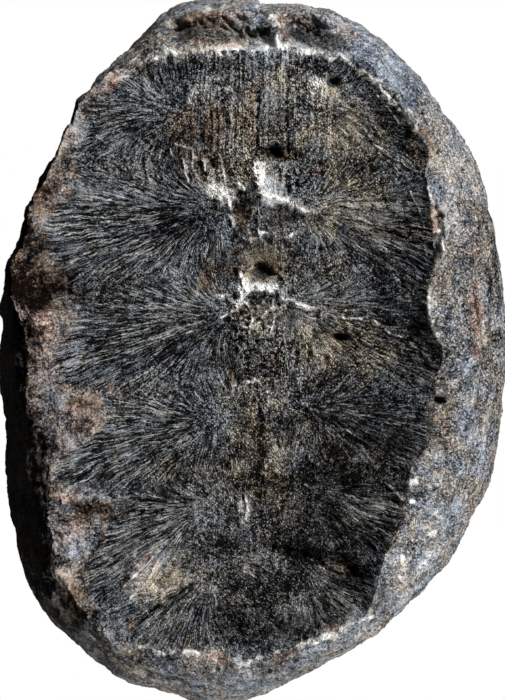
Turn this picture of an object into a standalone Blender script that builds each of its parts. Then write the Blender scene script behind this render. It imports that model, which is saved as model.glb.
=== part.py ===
"""A hatchling turtle's shell, fossil in an egg-shaped stone that lies on its rounded back.

The stone is one piece of rock. Its upper face is a shallow dish: the inside of the shell's roof, with a
row of vertebrae down the middle and six pairs of ribs, whose bone fibres fan out towards the sides. A rim
of stone stands round the dish, falls away to the stone's widest line, and tucks in to a small flat foot.

The origin is in the middle of the foot. +Y points to the head end, +X to the broad pale flank, +Z up.
"""

import itertools
import math

import bmesh
import bpy
import numpy as np

MM = 0.001

# Driving heights, in millimetres above the surface that the stone lies on
WIDEST_HEIGHT = 9.5
DISH_FLOOR = 17.6
RIM_HEIGHT = 20.6
RIM_TILT = 0.8

# The stone at its widest line, seen from above, anticlockwise from the right, in millimetres
STONE_OUTLINE = [
    (21.6, -1.3), (21.5, 3.0), (21.2, 6.9), (20.5, 10.0), (19.4, 14.5), (17.9, 17.8), (17.2, 19.1),
    (15.6, 21.2), (14.1, 23.4), (11.5, 26.0), (9.7, 27.3), (7.8, 28.5), (5.9, 29.1), (3.5, 29.5),
    (1.0, 29.4), (0.0, 29.9), (-4.0, 29.9), (-6.3, 29.5), (-8.0, 28.3), (-9.0, 27.0), (-10.8, 25.2),
    (-13.3, 22.4), (-14.7, 21.3), (-15.1, 20.1), (-16.8, 15.5), (-19.0, 12.3), (-20.0, 9.1),
    (-21.0, 7.5), (-20.8, 6.4), (-21.4, 3.5), (-21.1, 2.4), (-21.6, 0.3), (-21.6, -2.7),
    (-21.1, -5.1), (-21.0, -10.0), (-21.0, -12.3), (-20.4, -15.2), (-19.8, -17.9), (-18.0, -21.8),
    (-16.0, -24.2), (-13.3, -26.3), (-10.3, -28.3), (-7.9, -29.0), (-3.6, -29.9), (-0.6, -29.8),
    (3.2, -28.2), (7.8, -26.0), (11.4, -23.5), (16.2, -18.6), (19.3, -13.2), (20.7, -9.3),
]

# The crest of the rim, which bounds the dish, seen from above in the same way
RIM_OUTLINE = [
    (15.7, -2.3), (15.8, 0.1), (14.9, 1.9), (14.7, 5.1), (15.3, 7.9), (15.1, 10.3), (14.8, 13.1),
    (14.5, 14.9), (14.8, 16.7), (13.8, 18.5), (12.3, 20.6), (11.0, 22.1), (9.9, 23.6), (8.4, 24.7),
    (6.6, 24.8), (5.1, 25.4), (1.3, 25.8), (-2.2, 25.3), (-5.2, 25.0), (-8.2, 25.5), (-10.5, 24.5),
    (-13.0, 22.4), (-14.5, 20.9), (-15.0, 19.5), (-16.4, 16.0), (-17.8, 13.7), (-18.8, 12.0),
    (-19.7, 9.1), (-20.6, 7.3), (-20.5, 6.1), (-20.6, 4.4), (-19.9, 2.6), (-19.2, 0.4),
    (-18.6, -4.2), (-18.1, -6.3), (-17.4, -8.3), (-17.0, -11.6), (-17.1, -13.7), (-16.8, -16.9),
    (-15.8, -19.3), (-14.3, -21.7), (-12.5, -23.5), (-10.2, -24.9), (-7.4, -25.4), (-4.3, -25.6),
    (-1.6, -26.5), (0.0, -26.7), (1.8, -25.9), (4.1, -24.9), (7.1, -23.8), (8.5, -23.0),
    (9.9, -21.5), (10.5, -19.5), (11.5, -16.9), (12.4, -14.6), (13.5, -10.5), (14.3, -8.8),
    (15.1, -6.9), (15.5, -4.7),
]

# The line of the backbone, in millimetres
BACKBONE_X = 0.5
BACKBONE_HALF_WIDTH = 2.0
BACKBONE_HEIGHT = 0.35

# The ribs: root, tip, and how far from the rib its plate's fibres bend round (BEND) at the root, on the
# sides of head and tail. BEND grows along the rib, slowly at first.
RIBS = [
    ((-5.9, 20.3), (-14.2, 19.3), 3.4, 2.2),
    ((-2.8, 11.8), (-16.2, 10.9), 1.6, 2.4),
    ((-1.7, 3.2), (-16.2, -1.3), 1.6, 2.0),
    ((-2.6, -5.6), (-16.5, -10.6), 1.4, 2.0),
    ((-2.9, -12.8), (-13.8, -18.5), 1.7, 2.6),
    ((-3.2, -18.4), (-9.5, -23.8), 2.4, 2.4),
    ((4.5, 21.5), (12.9, 18.8), 2.4, 2.2),
    ((3.7, 12.3), (15.1, 9.5), 1.5, 1.8),
    ((2.6, 3.9), (15.5, 0.2), 1.4, 1.9),
    ((4.0, -4.6), (14.6, -8.1), 1.5, 1.9),
    ((4.3, -11.4), (12.2, -16.1), 1.6, 2.2),
    ((3.5, -17.5), (9.3, -21.9), 2.4, 2.4),
]
BEND_GROWTH = 0.55
SLOW_GROWTH_LENGTH = 6.0
RIB_HEIGHT = 0.3
RIB_WIDTH = 1.1
FIBRE_HEIGHT = 0.16
FIBRES_PER_RADIAN = 9.0
FIBRE_LENGTH = 4.0
FIRST_FIBRES = 6.0

# The ledge behind the last vertebra: the tail end of the dish lies a step lower
LEDGE_Y = -16.4
LEDGE_SAG = 0.055
LEDGE_HALF_WIDTH = 7.6
LEDGE_DROP = 0.7

# Lumps and hollows: x, y, half length, half width, turn in degrees, height (a hollow's is below zero)
VERTEBRAE = [
    (1.3, 13.8, 2.3, 0.8, -35, 0.6),
    (-2.6, 13.2, 1.6, 0.8, -45, 0.45),
    (-0.2, 9.5, 2.4, 0.7, 0, 0.4),
    (0.8, 5.2, 2.1, 0.7, 0, 0.6),
    (1.9, 2.2, 1.6, 0.7, 90, 0.45),
    (0.4, -8.0, 3.5, 0.8, 90, 0.25),
    (-1.0, -13.2, 2.2, 0.8, 90, 0.35),
]
BONE_HOLLOWS = [
    (2.0, 16.8, 1.7, 1.0, 0, -0.9),
    (-0.8, 11.6, 1.4, 1.0, 90, -0.5),
    (2.3, 11.5, 1.4, 1.1, 0, -0.45),
    (0.8, 7.6, 2.3, 1.8, 0, -0.8),
    (0.8, 6.7, 0.85, 0.6, 0, -1.2),
    (0.8, 3.9, 1.3, 1.0, 90, -0.55),
    (-4.5, 18.1, 1.3, 1.3, 0, -0.35),
]
MARGIN_LUMPS = [
    (-17.9, 2.0, 1.5, 1.4, 0, 0.7),
    (-16.5, 0.4, 1.7, 1.2, 0, 0.2),
    (-15.3, -6.0, 2.5, 1.1, 5, 0.4),
    (-14.7, -15.3, 2.1, 1.5, 10, 0.75),
    (-16.3, 13.1, 2.0, 1.5, -35, 0.35),
    (-11.7, 22.7, 1.7, 0.8, 38, 0.35),
    (-8.9, -18.0, 2.0, 0.9, 48, 0.35),
    (-8.5, -20.4, 2.5, 1.1, 25, 0.35),
    (16.2, 6.4, 1.3, 1.1, 0, 0.45),
    (15.6, 13.2, 0.8, 1.6, 10, 0.35),
    (15.4, 3.0, 0.8, 1.6, 10, 0.3),
    (-1.0, 28.8, 7.0, 0.7, 0, 0.35),
]
MARGIN_HOLLOWS = [
    (-17.6, 5.4, 2.9, 1.8, -15, -1.4),
    (-14.3, -4.7, 1.4, 0.7, 0, -0.5),
    (-13.9, -13.4, 2.2, 0.8, -5, -0.9),
    (-15.3, -19.9, 1.7, 2.5, 0, -0.25),
    (8.0, -18.7, 1.4, 0.9, -25, -0.6),
    (-0.8, 27.0, 7.5, 0.8, 0, -0.6),
    (-5.8, 27.1, 1.15, 0.85, 0, -1.6),
    (-2.6, 27.2, 2.0, 0.85, 4, -0.6),
    (4.7, 26.8, 2.0, 1.05, -10, -2.0),
    (14.7, 17.0, 0.8, 1.3, 0, -0.8),
    (15.4, 9.7, 0.7, 2.3, 0, -0.6),
]

# Weathering of the outside: cell size and height of the lumps, in millimetres
ROCK_LUMPS = [(3.4, 0.30), (1.3, 0.18)]

# The flat foot is an ellipse, in millimetres from its middle to its ends
FOOT_HALF_WIDTH = 11.0
FOOT_HALF_LENGTH = 16.5

# Beds of rock that stand out in turn down the broad flank: their thickness and relief, in millimetres
BED_THICKNESS = 2.1
BED_RELIEF = 0.3

# Mesh counts
DISH_CELLS = (34, 70)
FLANK_RINGS = 6
UNDERSIDE_RINGS = 5


def closed_curve(points, steps_per_span=12):
    """Points along a smooth closed curve (Catmull-Rom) that passes through the given ones."""
    here = np.array(points, float)
    before, after, later = (np.roll(here, shift, axis=0) for shift in (1, -1, -2))
    t = np.linspace(0.0, 1.0, steps_per_span, endpoint=False)[None, :, None]
    a, b, c, d = (p[:, None, :] for p in (before, here, after, later))
    curve = b + 0.5 * t * ((c - a) + t * ((2 * a - 5 * b + 4 * c - d) + t * (3 * b - a - 3 * c + d)))
    return curve.reshape(-1, 2)


def reach(outline, angle):
    """Distance from the middle to a closed outline, in the given directions."""
    curve = closed_curve(outline)
    curve_angle = np.arctan2(curve[:, 1], curve[:, 0])
    order = np.argsort(curve_angle)
    curve_reach = np.hypot(curve[:, 0], curve[:, 1])
    return np.interp(angle, curve_angle[order], curve_reach[order], period=2 * math.pi)


def smooth_reach(outline, angle):
    """The same distance with the outline's small bumps averaged away, over about a sixth of a turn."""
    turns = np.linspace(-0.5, 0.5, 21)
    weights = np.cos(turns * math.pi) ** 2
    total = sum(weight * reach(outline, angle + turn) for weight, turn in zip(weights, turns))
    return total / weights.sum()


def lattice_noise(points, seed):
    """Smooth random lumps from -1 to 1: a random value at each whole-number corner, eased between them."""
    whole = np.floor(points).astype(np.int64)
    part = points - whole
    part = part * part * (3 - 2 * part)
    total = np.zeros(len(points))
    for corner in itertools.product((0, 1), repeat=points.shape[1]):
        mixed = np.full(len(points), seed * 974711, np.int64)
        weight = np.ones(len(points))
        for axis, step in enumerate(corner):
            mixed = (mixed ^ ((whole[:, axis] + step) * (73856093, 19349663, 83492791)[axis])) & 0x7FFFFFFF
            mixed = (mixed * 1103515245 + 12345) & 0x7FFFFFFF
            weight = weight * (part[:, axis] if step else 1 - part[:, axis])
        mixed = ((mixed ^ (mixed >> 15)) * 48271) & 0x7FFFFFFF
        total += weight * (mixed / 0x3FFFFFFF - 1)
    return total


def spots(x, y, table):
    """Sum of the rounded lumps and hollows in a table, each an ellipse that fades out at its edge."""
    total = np.zeros_like(x)
    for middle_x, middle_y, half_length, half_width, turn, height in table:
        c, s = math.cos(math.radians(turn)), math.sin(math.radians(turn))
        along = ((x - middle_x) * c + (y - middle_y) * s) / half_length
        across = ((y - middle_y) * c - (x - middle_x) * s) / half_width
        total += height * np.exp(-((along**2 + across**2) ** 1.5))
    return total


def rim_height(angle):
    """Height of the crest: higher on the broad flank's side than on the steep one."""
    return RIM_HEIGHT + RIM_TILT * np.cos(angle) + 0.25 * np.sin(3 * angle)


def fans(x, y):
    """Height of the ribs and of the coarsest fibres round them.

    A rib is a rounded ridge that dies out towards its outer end. Its fibres run out along it, and those
    that leave sideways bend round until they stand square to it. With u along the rib from its root, v
    across it and g = BEND times (1 - exp(-|v| / BEND)), a fibre is a line on which the angle of (u, g) stays
    the same. Each point belongs to the rib whose line is nearest, on its own side of the backbone.
    """
    nearest = np.full(x.shape, np.inf)
    height = np.zeros_like(x)
    for number, (root, tip, head_bend, tail_bend) in enumerate(RIBS):
        length = math.dist(root, tip)
        direction = np.subtract(tip, root) / length
        side = np.sign(direction[0])
        along = (x - root[0]) * direction[0] + (y - root[1]) * direction[1]
        across = ((y - root[1]) * direction[0] - (x - root[0]) * direction[1]) * side
        same_side = (x < BACKBONE_X) == (root[0] < BACKBONE_X)
        mine = same_side & (np.abs(across) < nearest)
        out = np.clip(along, 0, None)
        bend = np.where(across > 0, head_bend, tail_bend) + BEND_GROWTH * out**2 / (out + SLOW_GROWTH_LENGTH)
        held = bend * (1 - np.exp(-np.abs(across) / bend)) * np.sign(across)
        run = np.hypot(along, across)
        fibre = np.stack([np.arctan2(held, along) * FIBRES_PER_RADIAN, run / FIBRE_LENGTH], axis=1)
        ridge = RIB_HEIGHT * np.exp(-((across / RIB_WIDTH) ** 2)) * np.clip(1.2 - along / length, 0, 1)
        ridge = ridge * np.clip(along + 0.5, 0, 1)
        clear = FIBRE_HEIGHT * np.clip(run / FIRST_FIBRES, 0, 1)
        height = np.where(mine, ridge + clear * lattice_noise(fibre, number + 1), height)
        nearest = np.where(mine, np.abs(across), nearest)
    return height


def ledge(x, y):
    """Step down to the tail end of the dish, across a line that bows towards the head."""
    line = LEDGE_Y - LEDGE_SAG * (x - BACKBONE_X) ** 2
    beyond = 0.5 + 0.5 * np.tanh((line - y) / 0.5)
    inside = np.exp(-(((x - BACKBONE_X) / LEDGE_HALF_WIDTH) ** 4))
    tail = np.exp(-np.clip(line - y, 0, None) / 6.0)
    return -LEDGE_DROP * beyond * inside * tail


def dish(x, y):
    """Height of the dish: a shallow bowl with a steeper wall under the crest, and the bones in it."""
    angle = np.arctan2(y, x)
    share = np.clip(np.hypot(x, y) / reach(RIM_OUTLINE, angle), 0, 1)
    rim = rim_height(angle)
    wall = 0.55 + 0.45 * np.cos(angle)
    bowl = DISH_FLOOR + (rim - wall - DISH_FLOOR) * share**2 + wall * share**9
    backbone = np.exp(-(((x - BACKBONE_X) / BACKBONE_HALF_WIDTH) ** 2)) * np.clip((y + 17.0) / 3.0, 0, 1)
    inside = 1 - share**8
    bones = BACKBONE_HEIGHT * backbone + fans(x, y) + ledge(x, y)
    marks = spots(x, y, VERTEBRAE + BONE_HOLLOWS + MARGIN_LUMPS + MARGIN_HOLLOWS)
    return bowl + inside * bones + marks


def dish_points(plan):
    """Places a square grid's points, from -1 to 1 each way, in the dish.

    The square is first drawn round into a disc, then stretched to the crest's outline.
    """
    a, b = plan[:, 0], plan[:, 1]
    across, along = a * np.sqrt(1 - b * b / 2), b * np.sqrt(1 - a * a / 2)
    half_width, half_length = (np.ptp(np.array(RIM_OUTLINE), axis=0)) / 2
    angle = np.arctan2(along * half_length, across * half_width)
    distance = np.hypot(across, along) * reach(RIM_OUTLINE, angle)
    x, y = distance * np.cos(angle), distance * np.sin(angle)
    return np.stack([x, y, dish(x, y)], axis=1)


def faded(outline, angle, sharpness):
    """Distance to an outline whose small bumps count in full at sharpness 1 and not at all at 0."""
    smooth = smooth_reach(outline, angle)
    return smooth + (reach(outline, angle) - smooth) * sharpness


def flank_points(angle, share):
    """Places a ring between the crest (share 0) and the widest line (share 1).

    On the right the flank rounds over like a quarter ellipse. On the left it falls steeply from a sharp
    crest, and at both ends it stays high and then falls.
    """
    quarter = share * math.pi / 2
    steep = 0.5 - 0.5 * np.cos(angle)
    ends = np.abs(np.sin(angle)) ** 4
    near_crest, near_widest = math.exp(-((1.5 * share) ** 2)), math.exp(-((2 - 2 * share) ** 2))
    crest = faded(RIM_OUTLINE, angle, near_crest)
    widest = faded(STONE_OUTLINE, angle, near_widest)
    distance = crest + (widest - crest) * math.sin(quarter) ** (1 + 0.5 * steep)
    fall = math.cos(quarter) ** (1 + 0.3 * steep - 0.6 * ends)
    height = WIDEST_HEIGHT + (rim_height(angle) - WIDEST_HEIGHT) * fall
    beds = np.sin(2 * math.pi * height / BED_THICKNESS) * math.sin(2 * quarter) * (1 - steep)
    distance = distance + BED_RELIEF * beds
    x, y = distance * np.cos(angle), distance * np.sin(angle)
    height = height + spots(x, y, MARGIN_LUMPS + MARGIN_HOLLOWS)
    return np.stack([x, y, height], axis=1)


def underside_points(angle, share):
    """Places a ring between the widest line (share 0) and the edge of the flat foot (share 1)."""
    quarter = share * math.pi / 2
    widest = faded(STONE_OUTLINE, angle, math.exp(-((4 * share) ** 2)))
    foot = 1 / np.hypot(np.cos(angle) / FOOT_HALF_WIDTH, np.sin(angle) / FOOT_HALF_LENGTH)
    distance = foot + (widest - foot) * math.cos(quarter)
    height = np.full_like(angle, WIDEST_HEIGHT * (1 - math.sin(quarter)))
    return np.stack([distance * np.cos(angle), distance * np.sin(angle), height], axis=1)


def weathered(points):
    """Pushes points in and out along the line from the stone's middle.

    The push is full on the flanks and the underside, and none in the dish, the foot and the widest line,
    whose outlines are already as worn as they are.
    """
    outward = points - np.array([0.0, 0.0, WIDEST_HEIGHT])
    outward /= np.linalg.norm(outward, axis=1)[:, None]
    angle = np.arctan2(points[:, 1], points[:, 0])
    share = np.hypot(points[:, 0], points[:, 1]) / reach(RIM_OUTLINE, angle)
    off_dish = np.where(points[:, 2] > WIDEST_HEIGHT, np.clip((share - 1.0) / 0.15, 0, 1), 1)
    off_widest = np.clip(np.abs(points[:, 2] - WIDEST_HEIGHT) / 3.0, 0, 1)
    off_foot = np.clip(points[:, 2] / 3.0, 0, 1)
    strength = off_dish * off_widest * off_foot
    height = sum(
        lump_height * lattice_noise(points / cell + 40, seed)
        for seed, (cell, lump_height) in enumerate(ROCK_LUMPS, start=341)
    )
    return points + outward * (strength * height)[:, None]


def place(verts, points):
    """Moves mesh vertices to points in millimetres."""
    for vert, point in zip(verts, points):
        vert.co = point * MM


def border_of(mesh):
    return [edge for edge in mesh.edges if edge.is_boundary]


def extruded_ring(mesh, ring_points, share):
    """Extrudes the open border by one ring and places the new vertices, each in its own direction."""
    made = bmesh.ops.extrude_edge_only(mesh, edges=border_of(mesh))
    verts = [item for item in made["geom"] if isinstance(item, bmesh.types.BMVert)]
    angle = np.array([math.atan2(vert.co.y, vert.co.x) for vert in verts])
    place(verts, ring_points(angle, share))


def stone_material():
    material = bpy.data.materials.new("fossil_stone")
    material.use_nodes = True
    shader = material.node_tree.nodes["Principled BSDF"]
    shader.inputs["Base Color"].default_value = (0.085, 0.082, 0.078, 1.0)
    shader.inputs["Roughness"].default_value = 0.62
    shader.inputs["Metallic"].default_value = 0.0
    return material


def turtle_fossil(collection):
    """The whole stone: a grid for the dish, rings extruded down from its border, and a flat face to rest on."""
    mesh = bmesh.new()
    bmesh.ops.create_grid(mesh, x_segments=DISH_CELLS[0], y_segments=DISH_CELLS[1], size=1.0)
    place(mesh.verts, dish_points(np.array([vert.co[:2] for vert in mesh.verts])))
    for ring in range(1, FLANK_RINGS + 1):
        extruded_ring(mesh, flank_points, ring / FLANK_RINGS)
    for ring in range(1, UNDERSIDE_RINGS + 1):
        extruded_ring(mesh, underside_points, ring / UNDERSIDE_RINGS)
    bmesh.ops.edgeloop_fill(mesh, edges=border_of(mesh))
    place(mesh.verts, weathered(np.array([vert.co for vert in mesh.verts]) / MM))
    bmesh.ops.recalc_face_normals(mesh, faces=mesh.faces)
    data = bpy.data.meshes.new("turtle_fossil")
    mesh.to_mesh(data)
    mesh.free()
    data.shade_smooth()
    data.set_sharp_from_angle(angle=math.radians(50))
    data.materials.append(stone_material())
    stone = bpy.data.objects.new("turtle_fossil", data)
    collection.objects.link(stone)
    return stone


def main():
    for old in list(bpy.data.objects):
        bpy.data.objects.remove(old)
    collection = bpy.data.collections.new("fossil baby turtle")
    bpy.context.scene.collection.children.link(collection)
    turtle_fossil(collection)


main()
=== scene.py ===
"""A hatchling turtle's shell, fossil in an egg-shaped stone, seen from straight above.

The stone lies on its flat foot with the dished face up. +Y points to the head end, +X to the broad pale
flank. Lengths inside the shape functions are in millimetres; the mesh is put into metres at the end.
"""

import itertools
import math

import bpy
import numpy as np
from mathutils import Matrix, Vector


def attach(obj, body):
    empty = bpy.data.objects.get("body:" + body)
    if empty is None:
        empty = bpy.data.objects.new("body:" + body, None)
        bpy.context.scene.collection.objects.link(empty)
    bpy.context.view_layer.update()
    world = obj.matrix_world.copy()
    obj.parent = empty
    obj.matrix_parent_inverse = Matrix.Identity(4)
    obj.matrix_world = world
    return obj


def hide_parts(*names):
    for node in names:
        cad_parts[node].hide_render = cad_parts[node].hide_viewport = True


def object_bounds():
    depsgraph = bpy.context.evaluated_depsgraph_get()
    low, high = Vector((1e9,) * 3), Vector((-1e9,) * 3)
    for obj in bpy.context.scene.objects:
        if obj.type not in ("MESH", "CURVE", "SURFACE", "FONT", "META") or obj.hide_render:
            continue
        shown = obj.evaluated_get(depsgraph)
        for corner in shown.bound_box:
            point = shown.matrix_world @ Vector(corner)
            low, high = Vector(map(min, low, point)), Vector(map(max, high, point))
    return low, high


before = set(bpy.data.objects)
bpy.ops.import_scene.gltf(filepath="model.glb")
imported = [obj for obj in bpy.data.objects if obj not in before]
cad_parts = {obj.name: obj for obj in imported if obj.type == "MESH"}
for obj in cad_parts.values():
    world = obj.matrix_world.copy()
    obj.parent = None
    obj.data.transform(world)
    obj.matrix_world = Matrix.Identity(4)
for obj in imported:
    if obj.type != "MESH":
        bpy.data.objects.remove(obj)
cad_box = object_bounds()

MM = 0.001

# The camera
# A long lens hangs straight over the stone, far enough away that the 60 mm stone fills the picture from
# top to bottom. The picture's long side takes the whole sensor.
STONE_LENGTH = 0.060
WIDEST_HEIGHT = 9.5
LENS_MM = 500.0
SENSOR_MM = 36.0

camera_data = bpy.data.cameras.new("camera")
camera_data.lens = LENS_MM
camera_data.sensor_width = SENSOR_MM
camera_data.sensor_fit = "AUTO"
camera = bpy.data.objects.new("camera", camera_data)
camera.location = (0.0, 0.0, WIDEST_HEIGHT * MM + STONE_LENGTH * LENS_MM / SENSOR_MM)
bpy.context.scene.collection.objects.link(camera)
bpy.context.scene.camera = camera

# The studio
# A wide white table, a large soft lamp from the upper right, a second one from the lower right, and very
# little light from elsewhere, so the left flank stays dark. The table throws no light back on the stone.
KEY_LAMP = {"azimuth": 46.0, "elevation": 40.0, "distance": 0.5, "size": 0.16, "power": 3.2}
SIDE_LAMP = {"azimuth": -54.0, "elevation": 22.0, "distance": 0.5, "size": 0.2, "power": 1.9}
ROOM_LIGHT = 0.24
TABLE_SIZE = 4.0
TABLE_GLOW = 1.0
TABLE_COLOUR = 0.0


def hang_lamp(name, azimuth, elevation, distance, size, power):
    """Puts a square lamp in a direction from the stone, facing it. Azimuth 0 is +X and 90 is +Y."""
    data = bpy.data.lights.new(name, "AREA")
    data.size = size
    data.energy = power
    lamp = bpy.data.objects.new(name, data)
    a, e = math.radians(azimuth), math.radians(elevation)
    lamp.location = (
        distance * math.cos(e) * math.cos(a),
        distance * math.cos(e) * math.sin(a),
        distance * math.sin(e),
    )
    lamp.rotation_euler = (math.pi / 2 - e, 0.0, a + math.pi / 2)
    bpy.context.scene.collection.objects.link(lamp)


hang_lamp("key_lamp", **KEY_LAMP)
hang_lamp("side_lamp", **SIDE_LAMP)

world = bpy.data.worlds.new("room")
world.use_nodes = True
world_nodes = world.node_tree.nodes
world_nodes["Background"].inputs["Strength"].default_value = ROOM_LIGHT
white = world_nodes.new("ShaderNodeBackground")
white.inputs["Color"].default_value = (1.0, 1.0, 1.0, 1.0)
seen = world_nodes.new("ShaderNodeLightPath")
either = world_nodes.new("ShaderNodeMixShader")
world.node_tree.links.new(seen.outputs["Is Camera Ray"], either.inputs[0])
world.node_tree.links.new(world_nodes["Background"].outputs[0], either.inputs[1])
world.node_tree.links.new(white.outputs[0], either.inputs[2])
world.node_tree.links.new(either.outputs[0], world_nodes["World Output"].inputs["Surface"])
bpy.context.scene.world = world
bpy.context.scene.view_settings.view_transform = "Standard"

table_material = bpy.data.materials.new("white_table")
table_material.use_nodes = True
table_shader = table_material.node_tree.nodes["Principled BSDF"]
table_shader.inputs["Base Color"].default_value = (TABLE_COLOUR, TABLE_COLOUR, TABLE_COLOUR, 1.0)
table_shader.inputs["Roughness"].default_value = 1.0
table_shader.inputs["Specular IOR Level"].default_value = 0.0
table_shader.inputs["Emission Color"].default_value = (1.0, 1.0, 1.0, 1.0)
table_shader.inputs["Emission Strength"].default_value = TABLE_GLOW
table_mesh = bpy.data.meshes.new("table")
half = TABLE_SIZE / 2
table_mesh.from_pydata([(-half, -half, 0), (half, -half, 0), (half, half, 0), (-half, half, 0)], [], [(0, 1, 2, 3)])
table_mesh.materials.append(table_material)
table = bpy.data.objects.new("table", table_mesh)
table.location.z = -0.1 * MM
table.visible_diffuse = False
table.visible_glossy = False
bpy.context.scene.collection.objects.link(table)

# The dish
# The upper face of the stone is the inside of the shell's roof: a shallow bowl inside the crest of a rim,
# with a steeper wall on the broad flank's side. Outlines are read from above, anticlockwise from the right.
RIM_OUTLINE = [
    (15.7, -2.3), (15.8, 0.1), (14.9, 1.9), (14.7, 5.1), (15.3, 7.9), (15.1, 10.3), (14.8, 13.1),
    (14.5, 14.9), (14.8, 16.7), (13.8, 18.5), (12.3, 20.6), (11.0, 22.1), (9.9, 23.6), (8.4, 24.7),
    (6.6, 24.8), (5.1, 25.4), (1.3, 25.8), (-2.2, 25.3), (-5.2, 25.0), (-8.2, 25.5), (-10.5, 24.5),
    (-13.0, 22.4), (-14.5, 20.9), (-15.0, 19.5), (-16.4, 16.0), (-17.8, 13.7), (-18.8, 12.0),
    (-19.7, 9.1), (-20.6, 7.3), (-20.5, 6.1), (-20.6, 4.4), (-19.9, 2.6), (-19.2, 0.4),
    (-18.6, -4.2), (-18.1, -6.3), (-17.4, -8.3), (-17.0, -11.6), (-17.1, -13.7), (-16.8, -16.9),
    (-15.8, -19.3), (-14.3, -21.7), (-12.5, -23.5), (-10.2, -24.9), (-7.4, -25.4), (-4.3, -25.6),
    (-1.6, -26.5), (0.0, -26.7), (1.8, -25.9), (4.1, -24.9), (7.1, -23.8), (8.5, -23.0),
    (9.9, -21.5), (10.5, -19.5), (11.5, -16.9), (12.4, -14.6), (13.5, -10.5), (14.3, -8.8),
    (15.1, -6.9), (15.5, -4.7),
]
DISH_FLOOR = 17.6
RIM_HEIGHT = 20.6
RIM_TILT = 0.8


def closed_curve(points, steps_per_span=12):
    """Points along a smooth closed curve (Catmull-Rom) that passes through the given ones."""
    here = np.array(points, float)
    before, after, later = (np.roll(here, shift, axis=0) for shift in (1, -1, -2))
    t = np.linspace(0.0, 1.0, steps_per_span, endpoint=False)[None, :, None]
    a, b, c, d = (p[:, None, :] for p in (before, here, after, later))
    curve = b + 0.5 * t * ((c - a) + t * ((2 * a - 5 * b + 4 * c - d) + t * (3 * b - a - 3 * c + d)))
    return curve.reshape(-1, 2)


def reach(outline, angle):
    """Distance from the middle to a closed outline, in the given directions."""
    curve = closed_curve(outline)
    curve_angle = np.arctan2(curve[:, 1], curve[:, 0])
    order = np.argsort(curve_angle)
    curve_reach = np.hypot(curve[:, 0], curve[:, 1])
    return np.interp(angle, curve_angle[order], curve_reach[order], period=2 * math.pi)


def eased(value, low, high):
    """0 below low and 1 above high, with a smooth rise between them."""
    part = np.clip((value - low) / (high - low), 0, 1)
    return part * part * (3 - 2 * part)


def rim_height(angle):
    """Height of the crest: higher on the broad flank's side than on the steep one."""
    return RIM_HEIGHT + RIM_TILT * np.cos(angle) + 0.25 * np.sin(3 * angle)


def bowl(x, y):
    """Height of the plain dish: it rises with the square of the way out, and more steeply by the crest."""
    angle = np.arctan2(y, x)
    share = np.clip(np.hypot(x, y) / reach(RIM_OUTLINE, angle), 0, 1)
    rim = rim_height(angle)
    wall = 0.55 + 0.45 * np.cos(angle)
    return DISH_FLOOR + (rim - wall - DISH_FLOOR) * share**2 + wall * share**9


# Wear and chance
# Nothing on the stone is regular. Random lumps of every size, worked out from whole-number corners, make
# its grain; rounded spots and narrow lines, given one by one, make the features that can be named.


def lattice_noise(points, seed):
    """Smooth random lumps from -1 to 1: a random value at each whole-number corner, eased between them."""
    whole = np.floor(points).astype(np.int64)
    part = points - whole
    part = part * part * (3 - 2 * part)
    total = np.zeros(len(points))
    for corner in itertools.product((0, 1), repeat=points.shape[1]):
        mixed = np.full(len(points), seed * 974711, np.int64)
        weight = np.ones(len(points))
        for axis, step in enumerate(corner):
            mixed = (mixed ^ ((whole[:, axis] + step) * (73856093, 19349663, 83492791)[axis])) & 0x7FFFFFFF
            mixed = (mixed * 1103515245 + 12345) & 0x7FFFFFFF
            weight = weight * (part[:, axis] if step else 1 - part[:, axis])
        mixed = ((mixed ^ (mixed >> 15)) * 48271) & 0x7FFFFFFF
        total += weight * (mixed / 0x3FFFFFFF - 1)
    return total


def rough_noise(points, seed, octaves=3):
    """Lumps on lumps: each octave is half as large and a little over half as high as the one before."""
    return sum(lattice_noise(points * 2**k + 7 * k, seed + k) * 0.55**k for k in range(octaves))


def spots(x, y, table):
    """Sum of a table's rounded spots, each an ellipse that fades out at its edge.

    A row holds the middle's x and y, the half length and half width, the turn in degrees and the height.
    """
    total = np.zeros_like(x)
    for middle_x, middle_y, half_length, half_width, turn, height in table:
        c, s = math.cos(math.radians(turn)), math.sin(math.radians(turn))
        along = ((x - middle_x) * c + (y - middle_y) * s) / half_length
        across = ((y - middle_y) * c - (x - middle_x) * s) / half_width
        total += height * np.exp(-((along**2 + across**2) ** 1.5))
    return total


def ragged(x, y):
    """The point moved at random by up to a third of a millimetre, so that a rounded spot gets a ragged edge."""
    place = np.stack([x, y], axis=1)
    return x + 0.3 * rough_noise(place / 0.8, 311, 3), y + 0.3 * rough_noise(place / 0.8, 314, 3)


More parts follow.
